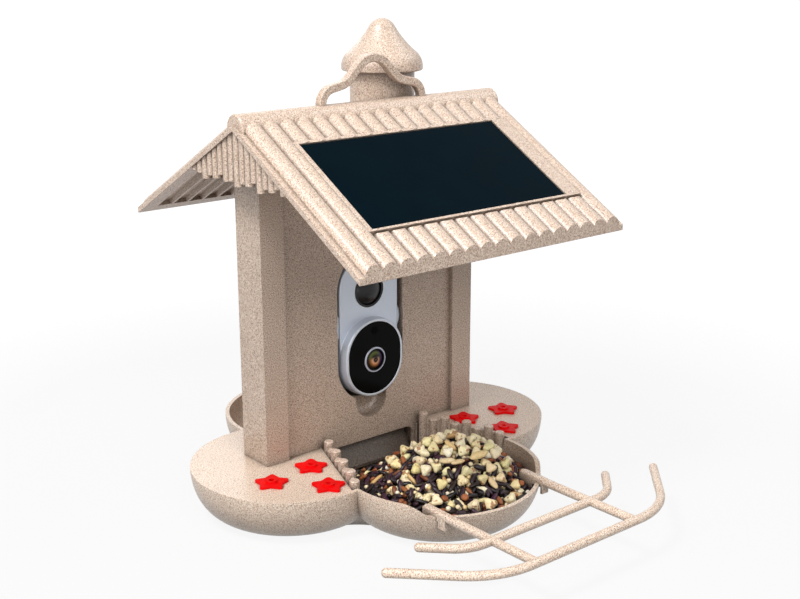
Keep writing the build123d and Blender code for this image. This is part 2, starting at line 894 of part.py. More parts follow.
def rib_strip(first, last, start, end):
    """Round ribs side by side, with a rounded nose at their upper end, in the slope's frame."""
    base = slab_thickness - flange_thickness / 2
    centre = slab_thickness + rib_height - rib_radius
    ribs = Sketch()
    for index in range(first, last + 1):
        x = (index - (rib_count - 1) / 2) * rib_pitch
        ribs += Pos(x, centre) * Circle(rib_radius)
    left = (first - rib_count / 2) * rib_pitch
    right = (last + 1 - rib_count / 2) * rib_pitch
    top = slab_thickness + rib_height
    ribs &= Pos((left + right) / 2, (base + top) / 2) * Rectangle(right - left, top - base)
    plane = Plane(origin=(0, start, 0), x_dir=(1, 0, 0), z_dir=(0, -1, 0))
    bars = extrude(plane * ribs, amount=start - end)
    rise = top - slab_thickness
    nose = EllipticalCenterArc(
        (start + rib_nose, slab_thickness), rib_nose, rise, start_angle=90, arc_size=90
    )
    side = nose + Polyline(
        (start, slab_thickness), (start, base), (end, base), (end, top), (start + rib_nose, top)
    )
    return bars & along_x(make_face(side), left, right)


def panel_plateau():
    """Raised flat field that frames the solar panel, in the slope's frame."""
    top = panel_level
    base = slab_thickness / 2
    start = panel_start - plateau_top_band
    end = panel_end + plateau_bottom_band
    return block(-plateau_right, plateau_left, start, end, base, top)


def panel_pocket():
    g = panel_gap
    bottom = panel_level - panel_recess - panel_thickness
    return block(
        -panel_half_width - g, panel_half_width + g, panel_start - g, panel_end + g, bottom, panel_level + over
    )


def back_grooves():
    """Hollows under the rear slope that leave a thin ridge below each rib."""
    grooves = Part()
    half = (rib_pitch - back_groove_land) / 2
    slant = back_groove_depth / 2
    for index in range(rib_count - 1):
        x = (index + 1 - rib_count / 2) * rib_pitch
        shape = polygon(
            (x - half, -over),
            (x + half, -over),
            (x + half, 0),
            (x + half - slant, back_groove_depth),
            (x - half + slant, back_groove_depth),
            (x - half, 0),
        )
        plane = Plane(origin=(0, back_groove_margin, 0), x_dir=(1, 0, 0), z_dir=(0, -1, 0))
        run = slope_length - 2 * back_groove_margin
        grooves += extrude(plane * shape, amount=-run)
    return grooves


def ridge_roll():
    centre = roof_apex_z + roll_rise - roll_radius
    roll = Pos(0, 0, centre) * Rot(0, 90, 0) * Cylinder(roll_radius, 2 * (roof_half_length - roll_setback))
    ends = roll.edges().filter_by(GeomType.CIRCLE)
    roll = chamfer(ends, roll_radius / 10)
    return roll - under_roof(-roll_radius - over, roll_radius + over, 0)


def locating_tab(side):
    """Block under the rear slope that rests behind a column and keeps the roof in place."""
    y0 = column_depth + roof_gap
    y1 = y0 + tab_depth
    z0 = roof_apex_z - y1 * math.tan(pitch) - tab_drop
    low, high = sorted((side * (house_half_width - tab_width), side * house_half_width))
    return block(low, high, y0, y1, z0, roof_apex_z)


def roof_shell():
    slab = roof_slab()
    full = slope_length + roof_half_depth
    last = rib_count - 1
    plateau_start = panel_start - plateau_top_band + rib_nose / 2
    plateau_end = panel_end + plateau_bottom_band
    front = rib_strip(0, 0, rib_start, full) + rib_strip(last - 1, last, rib_start, full)
    front += rib_strip(1, last - 2, rib_start, plateau_start)
    front += rib_strip(1, last - 2, plateau_end, full)
    front += panel_plateau()
    rear = rib_strip(0, last, rib_start, full)
    roof = slab + on_slope(-1) * front + on_slope(1) * rear
    roof -= on_slope(1) * back_grooves()
    roof -= on_slope(-1) * panel_pocket()
    roof += ridge_roll()
    tabs = locating_tab(-1) + locating_tab(1)
    low = polygon(
        (0, roof_apex_z + slab_thickness / 2), (roof_half_depth, eave_z + slab_thickness / 2), (roof_half_depth, 0), (0, 0)
    )
    roof += tabs & along_x(low, -roof_half_length, roof_half_length)
    d = roof_half_depth
    roof &= block(-roof_half_length, roof_half_length, -d, d, 0, roof_apex_z + 2 * roll_rise)
    roof -= rod_z(chimney_x, chimney_y, pipe_radius + part_gap, 0, roof_apex_z + 2 * roll_rise)
    roof -= loop_solid()
    return roof


def solar_panel():
    top = panel_level - panel_recess
    panel = block(-panel_half_width, panel_half_width, panel_start, panel_end, top - panel_thickness, top)
    edges = panel.edges().group_by(Axis.Z)[-1]
    return on_slope(-1) * chamfer(edges, panel_recess)


def junction_cover():
    """Shallow cover under the front slope, over the panel's contacts."""
    w = junction_half_width
    y0 = (panel_start + panel_end - junction_length) / 2
    y1 = y0 + junction_length
    cover = block(-w, w, y0, y1, -junction_height, 0)
    cover = fillet(cover.edges().filter_by(Axis.Z), 2 * junction_wall)
    t = junction_wall
    cover -= block(-w + t, w - t, y0 + t, y1 - t, -junction_height + t, over)
    return on_slope(-1) * cover


def gable_fringe(side):
    """Row of hanging half-round rods on a thin plate, under one rake."""
    axis_x = fringe_plane
    fringe = Part()
    half = (rod_count - 1) / 2
    level = roof_apex_z - fringe_bottom
    for index in range(rod_count):
        y = (index - half) * rod_pitch
        bottom = level - fringe_step * fringe_drop_shares[index]
        fringe += rod_z(axis_x, y, rod_radius, bottom, roof_apex_z)
    width = rod_count * rod_pitch
    plate = block(
        axis_x - fringe_plate, axis_x, -width / 2, width / 2, level + fringe_step, roof_apex_z
    )
    fringe += plate
    fringe &= block(axis_x - fringe_plate, roof_half_length, -width, width, 0, roof_apex_z)
    fringe &= under_roof(-width, width, 0)
    if side < 0:
        fringe = mirror(fringe, about=Plane.YZ)
    return fringe


def loop_solid():
    """Wavy strap that stands on the ridge."""
    top = roof_apex_z + roll_rise
    points = [
        (-loop_half_span, -loop_foot_sink),
        (-loop_half_span, loop_corner_rise),
        (-loop_valley_x, loop_valley_rise),
        (-loop_crown_x, loop_rise),
    ]
    points += [(-x, z) for x, z in reversed(points)]
    radii = [loop_corner_radius, loop_bend_radius, loop_bend_radius]
    radii += radii[::-1]
    path = FilletPolyline(*points, radius=radii)
    strap = trace(path, line_width=loop_strap)
    return along_y(Pos(0, top) * strap, -loop_depth / 2, loop_depth / 2)


def hanging_loop():
    loop = loop_solid()
    faces = loop.faces().filter_by(Axis.Y)
    return chamfer(faces.edges(), loop_edge)


def chimney_pipe():
    pipe = rod_z(chimney_x, chimney_y, pipe_radius, 0, pipe_top_z)
    pipe -= rod_z(chimney_x, chimney_y, pipe_radius - pipe_wall, -over, pipe_top_z + over)
    low_y = chimney_y - pipe_radius - over
    high_y = chimney_y + pipe_radius + over
    return pipe - under_roof(low_y, high_y, 0)


def cap_profile():
    """Bell outline from the skirt up to the crown: three tangent arcs."""
    shoulder = (cap_radius - cap_shoulder_radius, cap_skirt)
    crown = (0, cap_height - cap_dome_radius)
    low_reach = cap_shoulder_radius + cap_waist_radius
    high_reach = cap_dome_radius + cap_waist_radius
    gap = math.dist(shoulder, crown)
    along = (low_reach ** 2 - high_reach ** 2 + gap ** 2) / (2 * gap)
    across = math.sqrt(low_reach ** 2 - along ** 2)
    ux, uz = (crown[0] - shoulder[0]) / gap, (crown[1] - shoulder[1]) / gap
    waist = (shoulder[0] + along * ux + across * uz, shoulder[1] + along * uz - across * ux)
    low_share = cap_shoulder_radius / low_reach
    high_share = cap_dome_radius / high_reach
    join_low = tuple(a + low_share * (b - a) for a, b in zip(shoulder, waist))
    join_high = tuple(a + high_share * (b - a) for a, b in zip(crown, waist))
    low = TangentArc((cap_radius, cap_skirt), join_low, tangent=(0, 1))
    mid = TangentArc(join_low, join_high, tangent=low % 1)
    high = TangentArc(join_high, (0, cap_height), tangent=mid % 1)
    rest = Polyline((0, cap_height), (0, 0), (cap_radius, 0), (cap_radius, cap_skirt))
    return make_face(low + mid + high + rest)


def chimney_cap():
    """Hollow bell cap with a collar that drops into the pipe."""
    bell = revolve(Plane.XZ * cap_profile(), Axis.Z)
    edge = bell.edges().group_by(Axis.Z)[0]
    bell = chamfer(edge, cap_wall / 3)
    seat = pipe_top_z + roof_gap - cap_bottom_z
    plate = seat + cap_wall
    collar = pipe_radius - pipe_wall - cap_collar_gap
    foot = seat - cap_collar_depth
    ceiling = cap_height - 3 * cap_wall
    room = polygon(
        (0, foot - over),
        (collar - cap_wall, foot - over),
        (collar - cap_wall, plate),
        (cap_radius - 3 * cap_wall, plate),
        (cap_dome_radius - 2 * cap_wall, ceiling),
        (0, ceiling),
    )
    bell -= rod_z(0, 0, pipe_radius + cap_collar_gap, -over, seat)
    bell += rod_z(0, 0, collar, foot, seat + cap_wall / 2)
    bell -= revolve(Plane.XZ * room, Axis.Z)
    return Pos(chimney_x, chimney_y, cap_bottom_z) * bell


# Perch
def perch_height(y):
    """The bars' centre line rises a little away from the house."""
    return arm_start_z + perch_rise * (y - arm_start_y) / (outer_bar_y - arm_start_y)


def clip_seat():
    """Height of an arm's underside where it crosses the bowl's rim."""
    return arm_start_z - bar_radius


def bar(points, bend_radius):
    """Round bar bent along a flat path."""
    path = [(x, -y, perch_height(y)) for x, y in points]
    line = FilletPolyline(*path, radius=bend_radius) if len(path) > 2 else Line(*path)
    section = Plane(origin=line @ 0, z_dir=line % 0) * Circle(bar_radius)
    return sweep(section, path=line)


def round_tip(point):
    x, y = point
    return Pos(x, -y, perch_height(y)) * Sphere(bar_radius)


def cross_bar(y, bend_x, bend_radius, tip):
    """Cross bar whose two ends bend back towards the house."""
    return bar([(-tip[0], tip[1]), (-bend_x, y), (bend_x, y), tip], bend_radius)


def perch():
    solid = cross_bar(inner_bar_y, inner_bend_x, inner_bend_radius, inner_tip)
    solid += cross_bar(outer_bar_y, outer_bend_x, outer_bend_radius, outer_tip)
    for side in (-1, 1):
        solid += bar([(side * arm_x, arm_start_y), (side * arm_x, outer_bar_y)], bar_radius)
        solid += round_tip((side * inner_tip[0], inner_tip[1]))
        solid += round_tip((side * outer_tip[0], outer_tip[1]))
        solid += perch_clip(side)
    return solid


def perch_clip(side):
    """Squared end of an arm, with a slot underneath that straddles the bowl's rim."""
    x = side * arm_x
    low = clip_seat() - clip_depth
    wall_out = lobe_radius + clip_gap
    wall_in = lobe_radius_at(low, tray_floor) - tray_wall - clip_gap
    far = bowl_offset + math.sqrt(wall_out ** 2 - (arm_x - bar_radius) ** 2) + clip_lip
    body = block(x - bar_radius, x + bar_radius, -far, -arm_start_y, low, arm_start_z + bar_radius)
    body = fillet(body.edges().group_by(Axis.Z)[-1], bar_radius / 2)
    slot = rod_z(0, -bowl_offset, wall_out, 0, clip_seat())
    return body - (slot - rod_z(0, -bowl_offset, wall_in, -over, tray_height))


# Screws
def screw_up(x, y, head_z):
    """Pan-head screw driven upwards from its head's seat."""
    head = rod_z(x, y, screw_head_radius, head_z - screw_head_height, head_z)
    return head + rod_z(x, y, screw_radius, head_z, head_z + screw_length)


def deck_screws():
    x, y = column_inner + column_width / 2, column_depth / 2
    return Compound([screw_up(-x, y, deck_bottom), screw_up(x, y, deck_bottom)])


def hopper_screws():
    y = column_depth + house_wall
    group = []
    for x, z in hopper_screw_places():
        head = rod_y(x, z, screw_head_radius, y, y + screw_head_height)
        group.append(head + rod_y(x, z, screw_radius, y - screw_length / 2, y))
    return Compound(group)


parts = {
    "base_tray": base_tray(),
    "deck": deck(),
    "seed_fence_left": seed_fence(-1),
    "seed_fence_right": seed_fence(1),
    "house_shell": house_shell(),
    "hopper_back": hopper_back(),
    "seed_chute": seed_chute(),
    "camera_tub": camera_tub(),
    "camera_housing": camera_housing(),
    "camera_window": camera_window(),
    "camera_lens_ring": lens_ring(),
    "camera_lens": camera_lens(),
    "camera_lens_barrel": lens_barrel(),
    "camera_sensor_board": sensor_board(),
    "camera_light_sensor": light_sensor(),
    "camera_pir_ring": pir_ring(),
    "camera_pir_dome": pir_dome(),
    "camera_pir_sensor": pir_can(),
    "camera_main_board": main_board(),
    "camera_battery": battery_pack(),
    "camera_back_cover": camera_back_cover(),
    "camera_port_flap": camera_port_flap(),
    "camera_power_button": power_button(),
    "camera_screws": camera_screws(),
    "camera_grip_left": camera_side_grip(-1),
    "camera_grip_right": camera_side_grip(1),
    "roof_shell": roof_shell(),
    "solar_panel": solar_panel(),
    "junction_cover": junction_cover(),
    "gable_fringe_left": gable_fringe(-1),
    "gable_fringe_right": gable_fringe(1),
    "hanging_loop": hanging_loop(),
    "chimney_pipe": chimney_pipe(),
    "chimney_cap": chimney_cap(),
    "perch": perch(),
    "deck_screws": deck_screws(),
    "hopper_screws": hopper_screws(),
}
for side, word in ((-1, "left"), (1, "right")):
    for (x, y), place in zip(flower_places(side), ("near", "far", "front")):
        parts[f"flower_port_{word}_{place}"] = flower_port(x, y)

os.makedirs("parts", exist_ok=True)
for name, solid in parts.items():
    export_step(solid, f"parts/{name}.step")
    print(name, round(solid.volume), "mm3")
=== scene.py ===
# %% [markdown]
# # A bird feeder with a camera, a solar roof and a bowl of seed
# The feeder is moulded in one speckled straw plastic, with a silver camera in front, a dark solar
# panel on the roof, red nectar flowers and a perch of round bars. The solid parts come ready at
# their real size. What is left for this lesson is how everything looks: the camera's view, the
# light, a finish for each part, and the loose seed in the front bowl.

# %% Load the solid parts
import math
import bpy
import bmesh
import numpy as np
from mathutils import Matrix, Vector


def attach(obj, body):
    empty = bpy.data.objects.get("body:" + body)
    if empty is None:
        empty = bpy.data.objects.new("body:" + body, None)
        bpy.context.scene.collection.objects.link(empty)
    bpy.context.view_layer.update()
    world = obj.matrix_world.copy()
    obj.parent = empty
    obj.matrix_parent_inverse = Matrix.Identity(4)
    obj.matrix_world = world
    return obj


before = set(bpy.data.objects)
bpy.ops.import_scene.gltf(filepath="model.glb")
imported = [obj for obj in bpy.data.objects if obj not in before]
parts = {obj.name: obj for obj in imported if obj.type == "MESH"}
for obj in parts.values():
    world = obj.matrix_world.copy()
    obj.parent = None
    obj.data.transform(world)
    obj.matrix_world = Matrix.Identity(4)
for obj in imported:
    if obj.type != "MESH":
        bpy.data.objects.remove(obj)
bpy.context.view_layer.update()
MM = 0.001

# %% [markdown]
# ## The camera
# The photograph is a product shot from the front left, a little above the bowls. A camera can be
# set by eye, but this one was worked out from the edges of the roof and the deck, so the view is
# a direction, a lens and a place. A camera looks down its own -Z axis, which is why the lift is
# taken off a quarter turn.

# %% Camera at the photograph's angle
VIEW_TURN = math.radians(-39.531)
VIEW_LIFT = math.radians(16.003)
VIEW_ROLL = math.radians(0.068)
VIEW_PLACE = Vector((-464.36, -588.17, 331.98)) * MM
FOCAL_PIXELS = 1272.66
IMAGE_WIDTH = 800
FILM_WIDTH = 36
NEAREST_SEEN = 10 * MM

view = bpy.data.cameras.new("view")
view.sensor_width = FILM_WIDTH
view.sensor_fit = "HORIZONTAL"
view.lens = FOCAL_PIXELS / IMAGE_WIDTH * view.sensor_width
view.clip_start = NEAREST_SEEN
camera = bpy.data.objects.new("view", view)
turn = Matrix.Rotation(VIEW_TURN, 4, "Z")
tilt = Matrix.Rotation(math.pi / 2 - VIEW_LIFT, 4, "X")
roll = Matrix.Rotation(-VIEW_ROLL, 4, "Z")
camera.matrix_world = Matrix.Translation(VIEW_PLACE) @ turn @ tilt @ roll
bpy.context.scene.collection.objects.link(camera)
bpy.context.scene.camera = camera
print("lens", round(view.lens, 2), "mm")

# %% [markdown]
# ## A quiet studio
# The photograph has light from above and from the left: the roof is bright, the left faces are a
# step darker and the front faces darker again. One bright sky could light the feeder, but square
# lamps let each side be set by itself. A small lamp high on the left and a large one in front do
# most of the work, and five weaker ones open up the shade on the right, above, below and behind.

# %% Lamps
MIDDLE = (0, 0, 0.14)
TRAY_MIDDLE = (0, -0.05, 0.03)
# Each lamp has a place, what it looks at, a side in metres and its watts.
LAMPS = {
    "left_key": ((-0.75, -0.1, 1.25), MIDDLE, 0.35, 13.0),
    "front_key": ((-0.35, -1.15, 0.85), MIDDLE, 0.7, 8.0),
    "right_fill": ((0.9, -0.3, 1.1), MIDDLE, 0.7, 3.0),
    "sky_panel": ((-0.15, -0.15, 1.5), MIDDLE, 1.2, 1.5),
    "left_fill": ((-1.3, -0.2, 0.8), MIDDLE, 0.7, 5.0),
    "tray_fill": ((-0.25, -0.4, 0.03), TRAY_MIDDLE, 0.15, 0.16),
    "back_fill": ((0.5, 1.3, 0.8), MIDDLE, 0.7, 2.2),
}
for name, (place, target, side, watts) in LAMPS.items():
    light = bpy.data.lights.new(name, "AREA")
    light.shape = "SQUARE"
    light.size = side
    light.energy = watts
    lamp = bpy.data.objects.new(name, light)
    direction = Vector(target) - Vector(place)
    aim = direction.to_track_quat("-Z", "Y").to_matrix().to_4x4()
    lamp.matrix_world = Matrix.Translation(place) @ aim
    bpy.context.scene.collection.objects.link(lamp)
print(len(LAMPS), "lamps,", round(sum(row[3] for row in LAMPS.values()), 2), "W together")

# %% [markdown]
# ### A world that looks white but lights little
# The photograph's background is white. A world bright enough for that would wash out the feeder.
# The Light Path node tells what kind of ray is asking: camera, glossy and transmission rays get a
# strength of 1, which is white, so that gloss and glass show the white too. All other rays get
# only a faint light.

# %% World
WHITE = (1, 1, 1, 1)
WORLD_STRENGTH = 0.06


def sees_white(tree):
    """1 for the rays that should see a white studio: camera, glossy and transmission rays."""
    rays = tree.nodes.new("ShaderNodeLightPath")
    known = rays.outputs["Is Camera Ray"]
    for other in ("Is Glossy Ray", "Is Transmission Ray"):
        either = tree.nodes.new("ShaderNodeMath")
        either.operation = "MAXIMUM"
        tree.links.new(known, either.inputs[0])
        tree.links.new(rays.outputs[other], either.inputs[1])
        known = either.outputs[0]
    return known


world = bpy.data.worlds.new("studio")
bpy.context.scene.world = world
world.use_nodes = True
nodes = world.node_tree.nodes
links = world.node_tree.links
strength = nodes.new("ShaderNodeMapRange")
strength.inputs["To Min"].default_value = WORLD_STRENGTH
strength.inputs["To Max"].default_value = 1
links.new(sees_white(world.node_tree), strength.inputs["Value"])
nodes["Background"].inputs["Color"].default_value = WHITE
links.new(strength.outputs["Result"], nodes["Background"].inputs["Strength"])
bpy.context.scene.view_settings.view_transform = "Standard"
print("world strength", WORLD_STRENGTH)

# %% [markdown]
# ### The ground
# The feeder stands on white paper, with a soft grey shadow round its foot. Paper that only glows
# would hide the shadow, and plain paper would need a lot of light to look white. So a glow that
# the same rays see is mixed over plain grey paper: four fifths near the feeder, where the shadow
# falls, and all of it further out, where the sheet runs into the white world.

# %% Ground
GROUND_COLOUR = (0.27, 0.27, 0.27, 1)
GROUND_ROUGHNESS = 0.9
GROUND_GLOW = 1.12
GLOW_NEAR = 0.8
SHADOW_REACH = (0.3, 0.8)
GROUND_HALF = 14.0
GROUND_LEVEL = -0.5 * MM

ground_mesh = bpy.data.meshes.new("ground")
corners = [(x * GROUND_HALF, y * GROUND_HALF, 0) for x, y in ((-1, -1), (1, -1), (1, 1), (-1, 1))]
ground_mesh.from_pydata(corners, [], [(0, 1, 2, 3)])
ground = bpy.data.objects.new("ground", ground_mesh)
ground.location.z = GROUND_LEVEL
bpy.context.scene.collection.objects.link(ground)

paper = bpy.data.materials.new("ground paper")
paper.use_nodes = True
nodes = paper.node_tree.nodes
links = paper.node_tree.links
matt = nodes["Principled BSDF"]
matt.inputs["Base Color"].default_value = GROUND_COLOUR
matt.inputs["Roughness"].default_value = GROUND_ROUGHNESS
glow = nodes.new("ShaderNodeEmission")
glow.inputs["Color"].default_value = WHITE
glow.inputs["Strength"].default_value = GROUND_GLOW
blend = nodes.new("ShaderNodeMixShader")
away = nodes.new("ShaderNodeVectorMath")
away.operation = "LENGTH"
links.new(nodes.new("ShaderNodeTexCoord").outputs["Object"], away.inputs[0])
glow_share = nodes.new("ShaderNodeMapRange")
glow_share.inputs["From Min"].default_value = SHADOW_REACH[0]
glow_share.inputs["From Max"].default_value = SHADOW_REACH[1]
glow_share.inputs["To Min"].default_value = GLOW_NEAR
links.new(away.outputs["Value"], glow_share.inputs["Value"])
seen_share = nodes.new("ShaderNodeMath")
seen_share.operation = "MULTIPLY"
links.new(glow_share.outputs["Result"], seen_share.inputs[1])
links.new(sees_white(paper.node_tree), seen_share.inputs[0])
links.new(seen_share.outputs[0], blend.inputs["Fac"])
links.new(matt.outputs[0], blend.inputs[1])
links.new(glow.outputs[0], blend.inputs[2])
links.new(blend.outputs[0], nodes["Material Output"].inputs["Surface"])
ground_mesh.materials.append(paper)
print("ground", 2 * GROUND_HALF, "m across")

# %% [markdown]
# ## A short way to build finishes
# Every finish here is a tree of nodes. Nodes can be joined one link at a time, as above, but that
# hides what a finish does. So a small class adds a node, sets its values and joins it up in one
# call, and has a short method for each thing that many finishes share.

# %% Finish builder
# The Mix node has sockets for every kind of value. These are the ones for colours.
MIX_SHARE = 0
MIX_FIRST = 6
MIX_SECOND = 7
MIX_RESULT = 2
# How open a spot has to be for the darkest painted shade or for none, and how bent as an edge or as
# flat.
SHADE_OPENNESS_RANGE = (0.25, 0.85)
EDGE_RANGE = (0.85, 0.99)


def colour(code):
    """A screen colour such as E3CDBC as linear light."""
    levels = [int(code[i : i + 2], 16) / 255 for i in (0, 2, 4)]
    linear = [c / 12.92 if c <= 0.04045 else ((c + 0.055) / 1.055) ** 2.4 for c in levels]
    return (*linear, 1)


class Finish:
    """A material whose nodes are added and joined with few words."""

    def __init__(self, name):
        self.material = bpy.data.materials.new(name)
        self.material.use_nodes = True
        self.tree = self.material.node_tree
        self.shader = self.tree.nodes["Principled BSDF"]
        self.place = self.add("ShaderNodeTexCoord").outputs["Object"]

    def feed(self, socket, value):
        """Joins another socket to this one, or sets it to a value."""
        if isinstance(value, bpy.types.NodeSocket):
            self.tree.links.new(value, socket)
        else:
            socket.default_value = value

    def add(self, kind, inputs=None, **settings):
        """A new node with its settings made and its inputs fed."""
        node = self.tree.nodes.new(kind)
        for key, value in settings.items():
            setattr(node, key, value)
        for key, value in (inputs or {}).items():
            self.feed(node.inputs[key], value)
        return node

    def noise(self, size, detail=2.0, rough=0.5, place=None):
        """Cloudy noise whose features are about a size across."""
        inputs = {"Vector": place or self.place, "Scale": 1 / size, "Detail": detail, "Roughness": rough}
        return self.add("ShaderNodeTexNoise", inputs).outputs["Fac"]

    def dots(self, spacing):
        """How far the nearest of many scattered points is, in shares of their spacing."""
        inputs = {"Vector": self.place, "Scale": 1 / spacing}
        return self.add("ShaderNodeTexVoronoi", inputs).outputs["Distance"]

    def stretch(self, factors, turn):
        """Places turned and pulled longer where a factor is small, for strands."""
        inputs = {"Vector": self.place, "Scale": factors, "Rotation": turn}
        return self.add("ShaderNodeMapping", inputs).outputs["Vector"]

    def ramp(self, value, *stops):
        """Colours, colour codes or greys at places along a value."""
        node = self.add("ShaderNodeValToRGB", {"Fac": value})
        band = node.color_ramp.elements
        while len(band) < len(stops):
            band.new(0.5)
        for element, (place, tone) in zip(band, stops):
            element.position = place
            if isinstance(tone, str):
                tone = colour(tone)
            element.color = tone if isinstance(tone, tuple) else (tone, tone, tone, 1)
        return node.outputs["Color"]

    def mix(self, share, first, second, blend="MIX"):
        """Two colours, mixed by a share."""
        inputs = {MIX_SHARE: share, MIX_FIRST: first, MIX_SECOND: second}
        return self.add("ShaderNodeMix", inputs, data_type="RGBA", blend_type=blend).outputs[MIX_RESULT]

    def times(self, first, second):
        """The product of two values."""
        return self.add("ShaderNodeMath", {0: first, 1: second}, operation="MULTIPLY").outputs[0]

    def bump(self, height, depth, strength, soften=0.0):
        """Bump in metres; soften rounds the part's hard edges a little."""
        node = self.add("ShaderNodeBump", {"Height": height, "Distance": depth, "Strength": strength})
        if soften:
            edge = self.add("ShaderNodeBevel", {"Radius": soften}, samples=4)
            self.tree.links.new(edge.outputs["Normal"], node.inputs["Normal"])
        self.tree.links.new(node.outputs["Normal"], self.shader.inputs["Normal"])

    def painted_shade(self, reach, darkest):
        """Painted shade: darker where other surfaces stand close, as in a groove."""
        open_share = self.add("ShaderNodeAmbientOcclusion", {"Distance": reach}, samples=8).outputs["AO"]
        return self.ramp(open_share, (SHADE_OPENNESS_RANGE[0], darkest), (SHADE_OPENNESS_RANGE[1], 1.0))

    def edges(self, radius):
        """1 on the sharp edges of a part, 0 on its faces."""
        rounded = self.add("ShaderNodeBevel", {"Radius": radius}, samples=6).outputs["Normal"]
        flat = self.add("ShaderNodeNewGeometry").outputs["Normal"]
        same = self.add("ShaderNodeVectorMath", {0: rounded, 1: flat}, operation="DOT_PRODUCT")
        return self.ramp(same.outputs["Value"], (EDGE_RANGE[0], 1.0), (EDGE_RANGE[1], 0.0))

    def set(self, **values):
        """Feeds the shader's own sockets, named with underscores for spaces."""
        for key, value in values.items():
            self.feed(self.shader.inputs[key.replace("_", " ")], value)
        return self


print("E3CDBC as light", [round(level, 3) for level in colour("E3CDBC")])

# %% [markdown]
# ## Speckled straw plastic
# Ground straw is mixed into the plastic before moulding. From a step away it reads as a warm
# beige with a fine pepper of brown and cream; close up there are soft grains under a millimetre,
# a few darker flecks, and short tan fibres that lie every way. A picture of the plastic would
# stretch over the ribs and repeat itself. Noises and scattered dots at those three sizes do
# neither, and one more noise raises the skin by a few hundredths of a millimetre.

# %% Straw plastic
STRAW_TONES = ((0.34, "907463"), (0.44, "CBB19D"), (0.53, "E0C9B6"), (0.65, "F9E8D8"))
STRAW_CLOUDS = 30 * MM
FLECK_SPACING = 2.1 * MM
FLECK_PATCHES = 3.0 * MM
FLECK_COLOUR = "7E5A44"
FIBRE_COLOUR = "B8946F"
FIBRE_WIDTH = 0.55 * MM
FIBRE_PULL = 0.12
FIBRE_LAYS = (
    (0.5, (1, FIBRE_PULL, 1)),
    (2.1, (FIBRE_PULL, 1, 1)),
    (1.2, (1, 1, FIBRE_PULL)),
)
# How far the shade painted into grooves and into deep recesses reaches.
GROOVE_SHADE_REACH = 6 * MM
RECESS_SHADE_REACH = 40 * MM
SKIN_GRAIN = 0.5 * MM
SKIN_DEPTH = 0.06 * MM
EDGE_SOFTNESS = 0.35 * MM


def straw_plastic(name, shade=1.0, fine=0.68 * MM):
    """The speckled plastic, lightened or darkened by a factor as painted light or shade, with grains of
    a fine size.
    """
    finish = Finish(name)
    grain = finish.noise(fine, detail=2.0, rough=0.7)
    tones = [(place, tuple(min(c * shade, 1.0) for c in colour(code))) for place, code in STRAW_TONES]
    body = finish.ramp(grain, *tones)
    clouds = finish.ramp(finish.noise(STRAW_CLOUDS), (0.3, 0.94), (0.7, 1.0))
    body = finish.mix(1.0, body, clouds, "MULTIPLY")
    flecks = finish.ramp(finish.dots(FLECK_SPACING), (0.1, 1.0), (0.2, 0.0))
    few = finish.ramp(finish.noise(FLECK_PATCHES), (0.5, 0.0), (0.58, 1.0))
    body = finish.mix(finish.times(flecks, few), body, colour(FLECK_COLOUR))
    for angle, pull in FIBRE_LAYS:
        lay = finish.stretch(pull, (angle, angle, angle))
        strands = finish.ramp(finish.noise(FIBRE_WIDTH, detail=0.0, place=lay), (0.74, 0.0), (0.8, 0.5))
        body = finish.mix(strands, body, colour(FIBRE_COLOUR))
    # Painted shade: the colour darkens in grooves, and in deep recesses such as under the roof.
    body = finish.mix(1.0, body, finish.painted_shade(GROOVE_SHADE_REACH, 0.5), "MULTIPLY")
    body = finish.mix(1.0, body, finish.painted_shade(RECESS_SHADE_REACH, 0.62), "MULTIPLY")
    finish.bump(finish.noise(SKIN_GRAIN, detail=3.0), SKIN_DEPTH, 0.55, soften=EDGE_SOFTNESS)
    rough = finish.ramp(grain, (0.3, 0.4), (0.7, 0.28))
    return finish.set(Base_Color=body, Roughness=rough, Specular_IOR_Level=0.6).material


STRAW = straw_plastic("straw plastic")
# Lit and shaded copies of one plastic: the tray's is lightened as painted light, the house's darkened as
# painted shade.
TRAY_STRAW_PAINTED_LIGHT = straw_plastic("straw plastic with painted light", shade=1.17)
HOUSE_STRAW_PAINTED_SHADE = straw_plastic("straw plastic with painted shade", shade=0.86, fine=0.72 * MM)
# Painted shade: the chute's copy of the plastic is darkened nearly to black.
CHUTE_STRAW_PAINTED_SHADE = straw_plastic("straw plastic with deep painted shade", shade=0.25)
for plastic in (STRAW, TRAY_STRAW_PAINTED_LIGHT, HOUSE_STRAW_PAINTED_SHADE, CHUTE_STRAW_PAINTED_SHADE):
    print(plastic.name, len(plastic.node_tree.nodes), "nodes")

# %% [markdown]
# ## Lacquer, rubber and plain plastics
# The camera is a silver lacquer, fine and even, with a highlight painted along its edges. The
# black window is polished, so almost all of its look is reflection. The flowers are dyed through,
# with a faint cloudiness. Pieces inside the camera get plain finishes too, since it can be opened.
# One flat colour each would look like paper, so all of them share a recipe: clouds in the colour
# and in the gloss, and a fine skin.

# %% Moulded and lacquered finishes
MOULD_CLOUDS = 9 * MM
MOULD_GRAIN = 0.6 * MM
GLOSS_CLOUDS = 14 * MM
GLOSS_RANGE = (0.9, 1.1)
SILVER_TONES = ("C9D2E0", "DDE5F1")
FLAKE = 0.35 * MM
EDGE_HIGHLIGHT_WIDTH = 0.9 * MM


